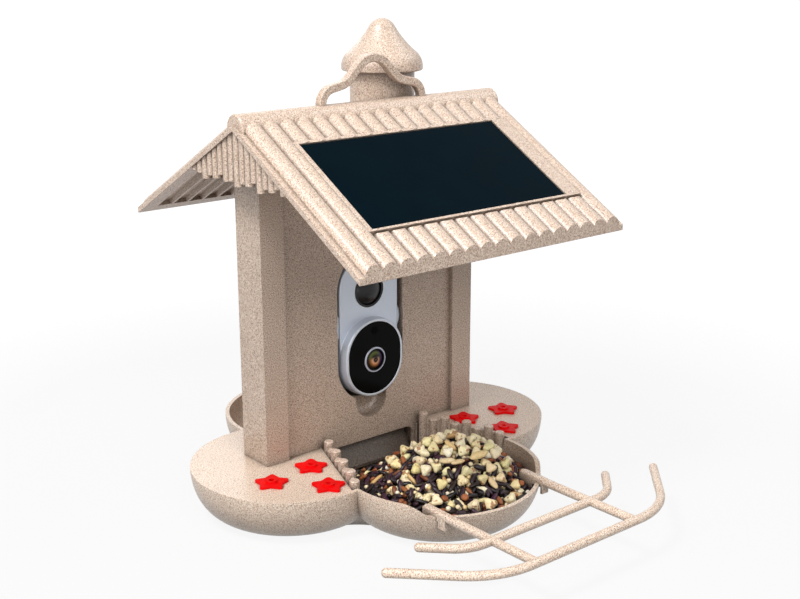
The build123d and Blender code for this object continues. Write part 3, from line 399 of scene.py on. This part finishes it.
def moulded(name, base, rough, tint=0.1, depth=0.02 * MM, soften=0.2 * MM, **more):
    """Plain moulded plastic: an even colour, a faint cloudiness and a fine skin."""
    finish = Finish(name)
    dark = tuple(c * (1 - tint) for c in base[:3]) + (1,)
    body = finish.mix(finish.noise(MOULD_CLOUDS, detail=3.0), dark, base)
    finish.bump(finish.noise(MOULD_GRAIN), depth, 0.5, soften=soften)
    duller = finish.noise(GLOSS_CLOUDS, detail=4.0)
    skin = finish.ramp(duller, (0.3, rough * GLOSS_RANGE[0]), (0.7, rough * GLOSS_RANGE[1]))
    return finish.set(Base_Color=body, Roughness=skin, **more).material


def silver_lacquer():
    """Pale blue-grey lacquer with a fine metal flake, and a highlight painted white along its edges."""
    finish = Finish("silver lacquer")
    body = finish.mix(finish.noise(FLAKE), *[colour(code) for code in SILVER_TONES])
    # Painted highlight: the edges are mixed towards white.
    body = finish.mix(finish.edges(EDGE_HIGHLIGHT_WIDTH), body, WHITE)
    finish.bump(finish.noise(MOULD_GRAIN), 0.01 * MM, 0.4, soften=0.5 * MM)
    return finish.set(Base_Color=body, Roughness=0.34, Metallic=0.3).material


SILVER = silver_lacquer()
BLACK_GLASS = moulded("black window", (0.004, 0.004, 0.004, 1), 0.12, depth=0.0, soften=0, IOR=1.12)
BLACK_GLOSS = moulded("black gloss", (0.012, 0.012, 0.014, 1), 0.22, 0.2, Specular_IOR_Level=0.3)
SENSOR = moulded("dark sensor", (0.001, 0.001, 0.001, 1), 0.5, 0.2, IOR=1.1)
BLACK_MATT = moulded("black matt", (0.012, 0.012, 0.013, 1), 0.6, 0.2)
RUBBER = moulded("soft rubber", (0.02, 0.02, 0.022, 1), 0.75, 0.2)
PETAL = moulded(
    "red petal", colour("F20408"), 0.42, 0.12, depth=0.05 * MM, soften=0.5 * MM, Specular_IOR_Level=0.1
)
TRIM = moulded("trim plastic", colour("9C8778"), 0.55, depth=0.05 * MM)
WRAP = moulded("battery wrap", (0.03, 0.09, 0.3, 1), 0.3)
BOARD = moulded("solder mask", (0.01, 0.09, 0.03, 1), 0.35, 0.25, soften=0)
STEEL = moulded("plain steel", (0.5, 0.5, 0.51, 1), 0.3, Metallic=1.0)
print(SILVER.name, "and", PETAL.name, "made, with nine plain finishes")

# %% [markdown]
# ## The lens
# The lens is coated glass, and what the photograph shows in it are rings of colour round a dark
# pupil, with a bright metal rim outside. Real reflections of a studio could give such rings, but
# only from one side. Here they are painted by the distance from the lens axis, so they hold from
# everywhere, and the gloss on top is real.

# %% Lens glass and rim
LENS_X = 0.0
LENS_Z = 78.7
LENS_RADIUS = 6.6
# Painted reflections: rings of colour by distance from the lens axis, and a painted warm glint in the
# middle of the pupil.
AMBER_REFLECTION_RINGS = (
    (0.0, "D07A48"), (0.07, "140C0A"), (0.2, "22130E"), (0.34, "F2B890"),
    (0.55, "B07444"), (0.75, "3A2818"), (1.0, "0A0A10"),
)
OLIVE_REFLECTION_RINGS = (
    (0.0, "D07A48"), (0.07, "140C0A"), (0.2, "120E0C"), (0.45, "2C2A1A"),
    (0.7, "66702F"), (0.85, "232814"), (1.0, "08080C"),
)
VIOLET_REFLECTION_RINGS = ((0.45, "1C1020"), (0.8, "3A2450"), (1.0, "08080C"))


def from_lens(finish, reach):
    """Offsets from the lens axis, and the distance from it, both in shares of a reach."""
    inputs = {
        "Vector": finish.place,
        "Location": (-LENS_X / reach, 0, -LENS_Z / reach),
        "Scale": (1 / (reach * MM), 0, 1 / (reach * MM)),
    }
    offsets = finish.add("ShaderNodeMapping", inputs).outputs["Vector"]
    out = finish.add("ShaderNodeVectorMath", {0: offsets}, operation="LENGTH").outputs["Value"]
    return offsets, out


def lens_rim():
    """A bright outer ring that steps down to a dark one beside the glass."""
    finish = Finish("lens rim")
    _, out = from_lens(finish, 2 * LENS_RADIUS)
    body = finish.ramp(out, (0.53, "0A0A0E"), (0.55, "C2C6D4"))
    finish.bump(finish.noise(MOULD_GRAIN), 0.01 * MM, 0.4, soften=0.4 * MM)
    return finish.set(Base_Color=body, Roughness=0.3, Metallic=0.3).material


def lens_glass():
    """Coated glass: painted reflections in rings of olive, amber and violet round a dark pupil, with a
    painted glint in its middle.
    """
    finish = Finish("coated lens with painted reflections")
    offsets, out = from_lens(finish, LENS_RADIUS)
    apart = finish.add("ShaderNodeSeparateXYZ", {"Vector": offsets})
    amber = finish.ramp(out, *AMBER_REFLECTION_RINGS)
    olive = finish.ramp(out, *OLIVE_REFLECTION_RINGS)
    body = finish.mix(finish.ramp(apart.outputs["Z"], (0.0, 0.0), (0.3, 1.0)), amber, olive)
    violet = finish.ramp(out, *VIOLET_REFLECTION_RINGS)
    body = finish.mix(finish.ramp(apart.outputs["X"], (0.25, 0.0), (0.6, 1.0)), body, violet)
    finish.set(Base_Color=body, Roughness=0.08, IOR=1.2, Coat_Weight=0.15, Coat_Roughness=0.02)
    return finish.material


LENS = lens_glass()
LENS_RIM = lens_rim()
print("lens painted out to", LENS_RADIUS, "mm")

# %% [markdown]
# ## The solar panel
# In the photograph the panel is one even, very dark blue-green sheet: neither cells nor lines can
# be told apart under its cover. Two near colours in slow clouds and a barely uneven face give
# that, and a low index of refraction keeps the white studio from greying it.

# %% Solar panel
PANEL_CLOUDS = 26 * MM
PANEL_WAVES = 40 * MM
PANEL_TONES = ("000D15", "01141D")


def solar_face():
    """An even, dark sheet with a soft shine."""
    finish = Finish("solar cells")
    body = finish.mix(finish.noise(PANEL_CLOUDS), *[colour(code) for code in PANEL_TONES])
    finish.bump(finish.noise(PANEL_WAVES, detail=1.0), 0.02 * MM, 0.4, soften=0.3 * MM)
    return finish.set(Base_Color=body, Roughness=0.22, IOR=1.06).material


SOLAR = solar_face()
print(SOLAR.name, len(SOLAR.node_tree.nodes), "nodes")

# %% [markdown]
# ## A finish for each solid part
# The solid parts already have the right shape, so they stay and only their finish is set. Parts
# that aren't named below are the common straw plastic, apart from the red flowers. The tray is a
# shade paler than the roof as painted light and the house a shade deeper as painted shade, as in
# the photograph, and the seed chute deep inside the house is darkened as painted shade.

# %% Give each solid part its finish
FINISH_OF = {
    "camera_housing": SILVER,
    "camera_back_cover": SILVER,
    "camera_grip_left": SILVER,
    "camera_grip_right": SILVER,
    "camera_window": BLACK_GLASS,
    "camera_lens": LENS,
    "camera_lens_ring": LENS_RIM,
    "camera_lens_barrel": BLACK_MATT,
    "camera_light_sensor": SENSOR,
    "camera_pir_ring": BLACK_GLOSS,
    "camera_pir_dome": BLACK_GLOSS,
    "camera_pir_sensor": STEEL,
    "camera_main_board": BOARD,
    "camera_sensor_board": BOARD,
    "camera_battery": WRAP,
    "camera_port_flap": RUBBER,
    "camera_power_button": RUBBER,
    "camera_screws": STEEL,
    "deck_screws": STEEL,
    "hopper_screws": STEEL,
    "junction_cover": TRIM,
    "seed_chute": CHUTE_STRAW_PAINTED_SHADE,
    "base_tray": TRAY_STRAW_PAINTED_LIGHT,
    "deck": TRAY_STRAW_PAINTED_LIGHT,
    "perch": TRAY_STRAW_PAINTED_LIGHT,
    "house_shell": HOUSE_STRAW_PAINTED_SHADE,
    "hopper_back": HOUSE_STRAW_PAINTED_SHADE,
    "camera_tub": HOUSE_STRAW_PAINTED_SHADE,
    "solar_panel": SOLAR,
}
for name, part in parts.items():
    wanted = PETAL if name.startswith("flower") else FINISH_OF.get(name, STRAW)
    part.data.materials.clear()
    part.data.materials.append(wanted)
print("finishes on", len(parts), "parts,", len(FINISH_OF), "of them named")

# %% [markdown]
# ## Loose seed in the front bowl
# The bowl is heaped with a mix of hulled buckwheat, black and red rice, oats, lentils and small
# round grains. Grains dropped by physics would settle where they like, and differently after any
# change. So the heap gets a map first: the surface that it should reach, highest over the front
# half, level with the rim at the sides, and low at the back where seed runs out of the chute.

# %% Edges of the heap
# Places are in millimetres, in the frame of the solid parts.
BOWL_Y = -62.0
BOWL_REACH = 55.6
HEAP_PEAK = (20.0, -69.0)
HEAP_BACK_Y = 2.0
FENCE_FOOT = (33.6, -0.7)
FENCE_OUT = (0.934, 0.357)
FENCE_FRONT_Y = -58.0
NOT_ZERO = 1e-9
SLOWEST = 1e-6
NEVER = 1e9


def ray_to_line(across, along, foot, outward):
    """How far a ray from the peak runs until it meets a straight edge."""
    reach = (foot[0] - HEAP_PEAK[0]) * outward[0] + (foot[1] - HEAP_PEAK[1]) * outward[1]
    speed = across * outward[0] + along * outward[1]
    return np.where(speed > SLOWEST, reach / np.maximum(speed, SLOWEST), NEVER)


def heap_share(x, y):
    """0 at the peak, 1 where the heap meets the rim, a fence or the chute."""
    dx = x - HEAP_PEAK[0]
    dy = y - HEAP_PEAK[1]
    far = np.hypot(dx, dy) + NOT_ZERO
    across = dx / far
    along = dy / far
    to_middle = HEAP_PEAK[0] * across + (HEAP_PEAK[1] - BOWL_Y) * along
    behind = HEAP_PEAK[0] ** 2 + (HEAP_PEAK[1] - BOWL_Y) ** 2 - BOWL_REACH ** 2
    rim = np.sqrt(np.maximum(to_middle ** 2 - behind, 0)) - to_middle
    throat = ray_to_line(across, along, (0, HEAP_BACK_Y), (0, 1))
    for side in (-1, 1):
        foot = (side * FENCE_FOOT[0], FENCE_FOOT[1])
        outward = (side * FENCE_OUT[0], FENCE_OUT[1])
        throat = np.minimum(throat, ray_to_line(across, along, foot, outward))
    meets_y = HEAP_PEAK[1] + throat * along
    return far / np.where(meets_y > FENCE_FRONT_Y, throat, rim)


print("the rim in front is", round(1 / float(heap_share(HEAP_PEAK[0], HEAP_PEAK[1] - 1)), 1), "mm off")

# %% [markdown]
# ### Height of the heap and floor of the bowl
# Poured seed makes a soft hill. From the peak the height falls along a bell shape to the height
# of the edge, and that sinks from the rim's level to the tray's floor towards the chute. A second
# map gives the floor that the seed lies on. Both are sampled on a half-millimetre grid, and a mask
# says where seed may lie: inside the edge, and not under the perch's arms.

# %% Height maps
HEAP_TOP = 39.6
HEAP_SIDE = 19.5
HEAP_BACK = 3.6
HEAP_SLOPE = 2.4
FALL_START_Y = -40
FALL_LENGTH = 43
TRAY_FLOOR = 2.6
TRAY_TOP = 28.5
TRAY_DRAW = 20.0
BOWL_INSIDE = 57.9
WING_X = 63.5
THROAT_HALF = 36.0
ARM_X = 38.0
ARM_BACK_Y = -93.2
ARM_HALF = 3.1
MAP_X = (-60, 60)
MAP_Y = (-122, 8)
CELL = 0.5


def heap_height(x, y):
    """The surface that the heap should reach."""
    back = np.clip((y - FALL_START_Y) / FALL_LENGTH, 0, 1)
    side = HEAP_SIDE + (HEAP_BACK - HEAP_SIDE) * back
    rise = np.clip(1 - heap_share(x, y) ** 2, 0, 1) ** HEAP_SLOPE
    return side + (HEAP_TOP - side) * rise


def bowl_floor(x, y):
    """Inside of the bowl, a wing and the throat between them: a flat floor that curves up."""
    floor = np.where((y > BOWL_Y) & (np.abs(x) < THROAT_HALF), TRAY_FLOOR, TRAY_TOP)
    for middle_x, middle_y in ((0, BOWL_Y), (WING_X, 0), (-WING_X, 0)):
        from_middle = np.hypot(x - middle_x, y - middle_y)
        drawn = np.clip(1 - (BOWL_INSIDE - from_middle) / TRAY_DRAW, 0, 1)
        curved = TRAY_TOP - (TRAY_TOP - TRAY_FLOOR) * np.sqrt(1 - drawn ** 2)
        floor = np.minimum(floor, curved)
    return floor


grid_x, grid_y = np.meshgrid(np.arange(*MAP_X, CELL), np.arange(*MAP_Y, CELL), indexing="ij")
surface = heap_height(grid_x, grid_y)
allowed = heap_share(grid_x, grid_y) < 1
allowed &= (np.abs(np.abs(grid_x) - ARM_X) > ARM_HALF) | (grid_y > ARM_BACK_Y)
print("heap covers", round(allowed.sum() * CELL ** 2), "mm2, top", round(surface[allowed].max(), 1))

# %% [markdown]
# ### One grain of each kind
# Long grains are a row of eight-sided rings that narrow towards both tips, with a crease along
# one side for oats. Buckwheat is a ball pressed in by four flat faces, which leaves the soft
# three-cornered body of the real groat. Each grain has a few hundred triangles at most, since it
# is only some fifteen pixels long in a picture of the whole feeder.

# %% Long grains
RING_SIDES = 8
RING_COUNT = 7
TIP_ROUNDNESS = 0.55
CREASE_SHARPNESS = 4


def long_grain(blunt, crease=0.0):
    """A unit grain along X: points and triangles."""
    points = [(-1, 0, 0)]
    for ring in range(RING_COUNT):
        along = math.sin(math.pi * ((ring + 1) / (RING_COUNT + 1) - 0.5))
        radius = (1 - abs(along) ** blunt) ** TIP_ROUNDNESS
        for side in range(RING_SIDES):
            angle = 2 * math.pi * side / RING_SIDES
            dent = 1 - crease * max(0.0, math.sin(angle)) ** CREASE_SHARPNESS
            points.append((along, radius * math.cos(angle), radius * dent * math.sin(angle)))
    points.append((1, 0, 0))
    last = len(points) - 1
    faces = []
    for side in range(RING_SIDES):
        after = (side + 1) % RING_SIDES
        faces.append((0, 1 + after, 1 + side))
        start = 1 + (RING_COUNT - 1) * RING_SIDES
        faces.append((last, start + side, start + after))
        for ring in range(RING_COUNT - 1):
            low = 1 + ring * RING_SIDES
            high = low + RING_SIDES
            faces.append((low + side, low + after, high + after))
            faces.append((low + side, high + after, high + side))
    return np.array(points), np.array(faces)


LONG_SHAPES = {
    "black_rice": long_grain(3.2),
    "oats": long_grain(2.6, crease=0.35),
    "red_rice": long_grain(2.8),
}
print("triangles in a long grain", {kind: len(faces) for kind, (_, faces) in LONG_SHAPES.items()})

# %% [markdown]
# ### Round and cornered grains
# A ball could be pressed flat by hand in sculpt mode. In code, each point of it moves in or out by
# how strongly it faces the four flats of a tetrahedron: where it faces one of them the ball goes
# flat, and between them a corner is left standing. Lentils and pearls stay balls, squashed by
# their sizes.

# %% Balls and groats
GROAT_SCALE = 0.78
GROAT_FLATS = np.array([(1, 1, 1), (1, -1, -1), (-1, 1, -1), (-1, -1, 1)]) / math.sqrt(3)


def ball_grain(level, press=0.0):
    """A unit ball, or a three-cornered groat when it is pressed in by four flat faces."""
    ball = bmesh.new()
    bmesh.ops.create_icosphere(ball, subdivisions=level, radius=1)
    points = np.array([corner.co[:] for corner in ball.verts])
    faces = np.array([[corner.index for corner in face.verts] for face in ball.faces])
    ball.free()
    if press:
        facing = np.maximum(points @ GROAT_FLATS.T, 0)
        points = points * (facing ** press).sum(axis=1)[:, None] ** (-1 / press) * GROAT_SCALE
    return points, faces


# Each kind's shape, with half its length, width and thickness in millimetres.
GRAINS = {
    "buckwheat": (ball_grain(3, press=1.9), (3.9, 3.9, 3.7)),
    "black_rice": (LONG_SHAPES["black_rice"], (4.9, 1.75, 1.5)),
    "oats": (LONG_SHAPES["oats"], (5.6, 2.2, 1.8)),
    "red_rice": (LONG_SHAPES["red_rice"], (4.6, 1.9, 1.6)),
    "lentils": (ball_grain(2), (2.4, 2.4, 1.5)),
    "pearls": (ball_grain(2), (1.75, 1.75, 1.6)),
}
print("triangles in a groat", len(GRAINS["buckwheat"][0][1]))

# %% [markdown]
# ### A grain comes to rest
# A real grain lies along the slope under it and sinks a little between its neighbours. To do the
# same, the pile's height under a grain's outline is read from the map, a plane is fitted to it
# for the tilt, and the grain goes down until only a few spots of the map poke into it, and then a
# little further. The map takes on the grain's own top. A fixed seed makes each run the same.

# %% Lay one grain
# The pile starts as a bed: this far below the surface, and a little above the tray's floor.
BED_DEPTH = 8.0
BED_GAP = 0.2
SINK = 0.45
SIZE_RANGE = (0.74, 1.08)
STEEPEST = 0.9
CARRYING_PERCENT = 92

rng = np.random.default_rng(12)
pile = np.maximum(surface - BED_DEPTH, bowl_floor(grid_x, grid_y) + 2 * BED_GAP)
places = {kind: [] for kind in GRAINS}
spots = np.argwhere(allowed)


def lay_grain(kind, spot, spare, sink=SINK):
    """Rests one grain on the pile, or says that it would stand too high or cross an edge."""
    long, wide, thick = np.array(GRAINS[kind][1]) * rng.uniform(*SIZE_RANGE)
    yaw = rng.uniform(0, math.pi)
    cells = int(long / CELL) + 1
    i, j = spot
    if min(i, j) < cells or i + cells >= pile.shape[0] or j + cells >= pile.shape[1]:
        return False
    window = (slice(i - cells, i + cells + 1), slice(j - cells, j + cells + 1))
    dx = grid_x[window] - grid_x[i, j]
    dy = grid_y[window] - grid_y[i, j]
    u = dx * math.cos(yaw) + dy * math.sin(yaw)
    v = dy * math.cos(yaw) - dx * math.sin(yaw)
    round_off = 1 - (u / long) ** 2 - (v / wide) ** 2
    under = round_off > 0
    if not allowed[window][under].all():
        return False
    below = pile[window][under]
    u = u[under]
    v = v[under]
    uneven = below - below.mean()
    rise_u = np.clip((uneven * u).sum() / (u * u).sum(), -STEEPEST, STEEPEST)
    rise_v = np.clip((uneven * v).sum() / (v * v).sum(), -STEEPEST, STEEPEST)
    half = thick * np.sqrt(round_off[under])
    tilt = rise_u * u + rise_v * v
    rest = np.percentile(below - tilt + half, CARRYING_PERCENT) - sink
    if rest + thick > surface[i, j] + spare:
        return False
    pile[window][under] = np.maximum(below, rest + tilt + half)
    along = Vector((math.cos(yaw), math.sin(yaw), rise_u)).normalized()
    across = Vector((-math.sin(yaw), math.cos(yaw), rise_v))
    up = along.cross(across).normalized()
    turn = np.array(Matrix((along, up.cross(along), up)).transposed())
    centre = np.array((grid_x[i, j], grid_y[i, j], rest))
    places[kind].append((turn, np.array((long, wide, thick)), centre))
    return True


print(len(spots), "spots where a grain can lie")

# %% [markdown]
# ### The grains rain down
# Laid at random, grains would pile up in some places and leave holes in others. So each turn looks
# at ten spots and takes the one where the pile is furthest below the surface that it should
# reach. Big grains come first. Where none of them fits any more, small ones fill the hollows. The
# pale buckwheat gathers at the top, as in the photograph.

# %% Rain of grains
MIX = {
    "buckwheat": 0.16,
    "black_rice": 0.52,
    "oats": 0.03,
    "red_rice": 0.10,
    "lentils": 0.02,
    "pearls": 0.09,
}
PALE_PLACE = (14.0, -67.0)
PALE_SPREAD = 21.0
PALE_GAIN = 1.15
SPOTS_SEEN = 10
# Each shower has its kinds, how far they may stand above the surface, and how many misses in a
# row end it.
SHOWERS = (
    (("buckwheat", "black_rice", "oats", "red_rice"), 1.0, 260),
    (("red_rice", "black_rice"), 0.8, 120),
    (("lentils", "pearls"), 0.8, 160),
)


def pick_kind(x, y):
    """A kind by its share in the mix, where buckwheat, the first one, gains near the top."""
    pale = math.exp(-((x - PALE_PLACE[0]) ** 2 + (y - PALE_PLACE[1]) ** 2) / (2 * PALE_SPREAD ** 2))
    share = np.array(list(MIX.values()))
    share[0] += PALE_GAIN * pale
    return list(MIX)[rng.choice(len(share), p=share / share.sum())]


for kinds, spare, most_misses in SHOWERS:
    missed = 0
    while missed < most_misses:
        some = spots[rng.integers(len(spots), size=SPOTS_SEEN)]
        want = surface[some[:, 0], some[:, 1]] - pile[some[:, 0], some[:, 1]]
        spot = some[int(np.argmax(want))]
        kind = pick_kind(grid_x[tuple(spot)], grid_y[tuple(spot)])
        if kind not in kinds:
            continue
        missed = 0 if lay_grain(kind, spot, spare) else missed + 1
print("grains in the heap", {kind: len(rows) for kind, rows in places.items()})

# %% [markdown]
# ### The last handful
# The photograph's heap isn't smooth: pale groats stand proud of it round the peak, and a few small
# grains lie loose on top. They are laid in the same way, with more room above the surface, and the
# groats sink deeper so that they don't float.

# %% Grains on top
TOP_GROATS = 360
TOP_PLACE = (16.0, -67.0)
TOP_SPREAD = (18.0, 19.0)
TOP_SPARE = 5.6
TOP_SINK = 1.2
GROAT_SHARE = 0.97
SPRINKLE = 70
SPRINKLE_SPARE = 3.4
SPRINKLE_KINDS = ("lentils", "pearls", "red_rice", "black_rice")

for _ in range(TOP_GROATS):
    x, y = rng.normal(TOP_PLACE, TOP_SPREAD)
    spot = (int((x - grid_x[0, 0]) / CELL), int((y - grid_y[0, 0]) / CELL))
    kind = "buckwheat" if rng.random() < GROAT_SHARE else "oats"
    lay_grain(kind, spot, TOP_SPARE, sink=TOP_SINK)
for _ in range(SPRINKLE):
    spot = spots[rng.integers(len(spots))]
    kind = SPRINKLE_KINDS[rng.integers(len(SPRINKLE_KINDS))]
    lay_grain(kind, spot, SPRINKLE_SPARE)
print("grains in all", {kind: len(rows) for kind, rows in places.items()})

# %% [markdown]
# ### Skins of the grains
# No two grains have quite the same colour. A material for each grain would be hundreds of them.
# Instead all grains of a kind are one mesh, and the Geometry node's Random Per Island gives each
# grain its own tone from a ramp. A finer noise darkens the skin in places, and some groats keep a
# brown patch of hull.

# %% Grain skins
SKIN_MARKS = 1.5 * MM
GRAIN_GAP_SHADE_REACH = 2 * MM
HULL_PATCHES = 3.2 * MM
GRAIN_SKIN = 0.9 * MM
GROAT_TONES = "FFF2CC F2E8AA FFF6DC F9E4A6 FFEBC4 E8D898 FFF4D4 FBDFAE".split()
BLACK_RICE_TONES = "16110F 2A1B22 191313 46293A 120F10 30201C 1B1518 3A2430".split()
OAT_TONES = "F0CF94 D8AC6C F8E4B8 C6955A F0D49C".split()
RED_RICE_TONES = "7E4226 94542F 5A2C1C A96A40 6B3420".split()
LENTIL_TONES = "A8653C 8F5230 C07C4A".split()
PEARL_TONES = "FFF2DA F2D69C FFFAF0 E6C486 F8E6C0".split()
# Painted shade: the bed's near-black colour stands in for the shaded deep grains between the top ones.
BED_PAINTED_SHADE_TONES = "241A14 241A14".split()
HULL_COLOUR = "A2663A"


def grain_skin(name, rough, codes, patch=None):
    """A tone for each grain, marks on its skin, painted shade in the gaps, and patches of hull for a
    code.
    """
    finish = Finish(name)
    each = finish.add("ShaderNodeNewGeometry").outputs["Random Per Island"]
    body = finish.ramp(each, *[(row / (len(codes) - 1), code) for row, code in enumerate(codes)])
    marks = finish.ramp(finish.noise(SKIN_MARKS, detail=3.0), (0.3, 0.82), (0.5, 1.0))
    body = finish.mix(1.0, body, marks, "MULTIPLY")
    # Painted shade in the gaps between grains.
    body = finish.mix(1.0, body, finish.painted_shade(GRAIN_GAP_SHADE_REACH, 0.42), "MULTIPLY")
    if patch:
        hull = finish.ramp(finish.noise(HULL_PATCHES, detail=1.0), (0.6, 0.0), (0.68, 0.85))
        body = finish.mix(hull, body, colour(patch))
    finish.bump(finish.noise(GRAIN_SKIN), 0.08 * MM, 0.5)
    return finish.set(Base_Color=body, Roughness=rough, Specular_IOR_Level=0.3).material


GRAIN_SKINS = {
    "buckwheat": grain_skin("buckwheat groat", 0.42, GROAT_TONES, patch=HULL_COLOUR),
    "black_rice": grain_skin("black rice", 0.34, BLACK_RICE_TONES),
    "oats": grain_skin("oat", 0.4, OAT_TONES),
    "red_rice": grain_skin("red rice", 0.38, RED_RICE_TONES),
    "lentils": grain_skin("lentil", 0.45, LENTIL_TONES),
    "pearls": grain_skin("pearl grain", 0.4, PEARL_TONES),
    "bed": grain_skin("seed bed in painted shade", 0.7, BED_PAINTED_SHADE_TONES),
}
print(len(GRAIN_SKINS), "grain skins")

# %% [markdown]
# ### The heap becomes mesh
# Every laid grain has a turn, a size and a centre. Copies could be instances, but Random Per
# Island needs real islands, so the grains of a kind are joined into one mesh.

# %% Join the grains of each kind
def grain_mesh(kind):
    """One mesh of every grain of a kind, in metres."""
    (points, faces), _ = GRAINS[kind]
    rows = places[kind]
    placed = [(points * size) @ turn.T + centre for turn, size, centre in rows]
    joined = np.concatenate(placed) * MM
    triangles = np.concatenate([faces + len(points) * row for row in range(len(rows))])
    mesh = bpy.data.meshes.new("seed_" + kind)
    mesh.from_pydata(joined.tolist(), [], triangles.tolist())
    mesh.shade_smooth()
    return mesh


meshes = {kind: grain_mesh(kind) for kind in GRAINS}
print(len(meshes), "meshes of grains")

# %% [markdown]
# ### The bed below the grains
# Between the grains one would see through to the tray's floor. Filling the whole bowl with grains
# would cost thousands that nobody sees, so a closed mound, the bed, lies below the top ones. It is
# nearly black: painted shade for the deep grains seen between the top ones.
# It is a fan of rings round the peak, with a top, a floor and a rim.

# %% The bed below the grains
BED_TURNS = 72
BED_RINGS = 12
BED_SHARES = (0.08, 0.97)


def bed_mesh():
    """A closed mound that fills the heap below its grains."""
    turns = np.linspace(0, 2 * math.pi, BED_TURNS, endpoint=False)
    shares = np.linspace(*BED_SHARES, BED_RINGS)
    edge = 1 / heap_share(HEAP_PEAK[0] + np.cos(turns), HEAP_PEAK[1] + np.sin(turns))
    x = HEAP_PEAK[0] + np.outer(shares, edge * np.cos(turns))
    y = HEAP_PEAK[1] + np.outer(shares, edge * np.sin(turns))
    floor = bowl_floor(x, y) + BED_GAP
    top = np.maximum(heap_height(x, y) - BED_DEPTH, floor + BED_GAP)
    points = [corner for level in (top, floor) for corner in zip(x.ravel(), y.ravel(), level.ravel())]
    layer = BED_RINGS * BED_TURNS
    faces = []
    for turn in range(BED_TURNS):
        after = (turn + 1) % BED_TURNS
        for ring in range(BED_RINGS - 1):
            a = ring * BED_TURNS + turn
            b = ring * BED_TURNS + after
            faces.append((a, a + BED_TURNS, b + BED_TURNS, b))
            faces.append((a + layer, b + layer, b + BED_TURNS + layer, a + BED_TURNS + layer))
        rim = layer - BED_TURNS + turn
        next_rim = layer - BED_TURNS + after
        faces.append((rim, rim + layer, next_rim + layer, next_rim))
    faces.append(tuple(range(BED_TURNS)))
    faces.append(tuple(range(layer + BED_TURNS - 1, layer - 1, -1)))
    mesh = bpy.data.meshes.new("seed_bed")
    mesh.from_pydata((np.array(points) * MM).tolist(), [], faces)
    return mesh


meshes["bed"] = bed_mesh()
print("bed of", len(meshes["bed"].polygons), "faces")

# %% [markdown]
# ### The heap rides on the tray
# The seed lies in the tray, so it stays there when the house, the roof or the perch is lifted off:
# every mesh of it rides on the tray's body.

# %% Put the heap in the tray
for kind, mesh in meshes.items():
    heap = bpy.data.objects.new("seed_" + kind, mesh)
    heap.data.materials.append(GRAIN_SKINS[kind])
    bpy.context.scene.collection.objects.link(heap)
    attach(heap, "tray")
    print(heap.name, len(mesh.polygons), "faces")
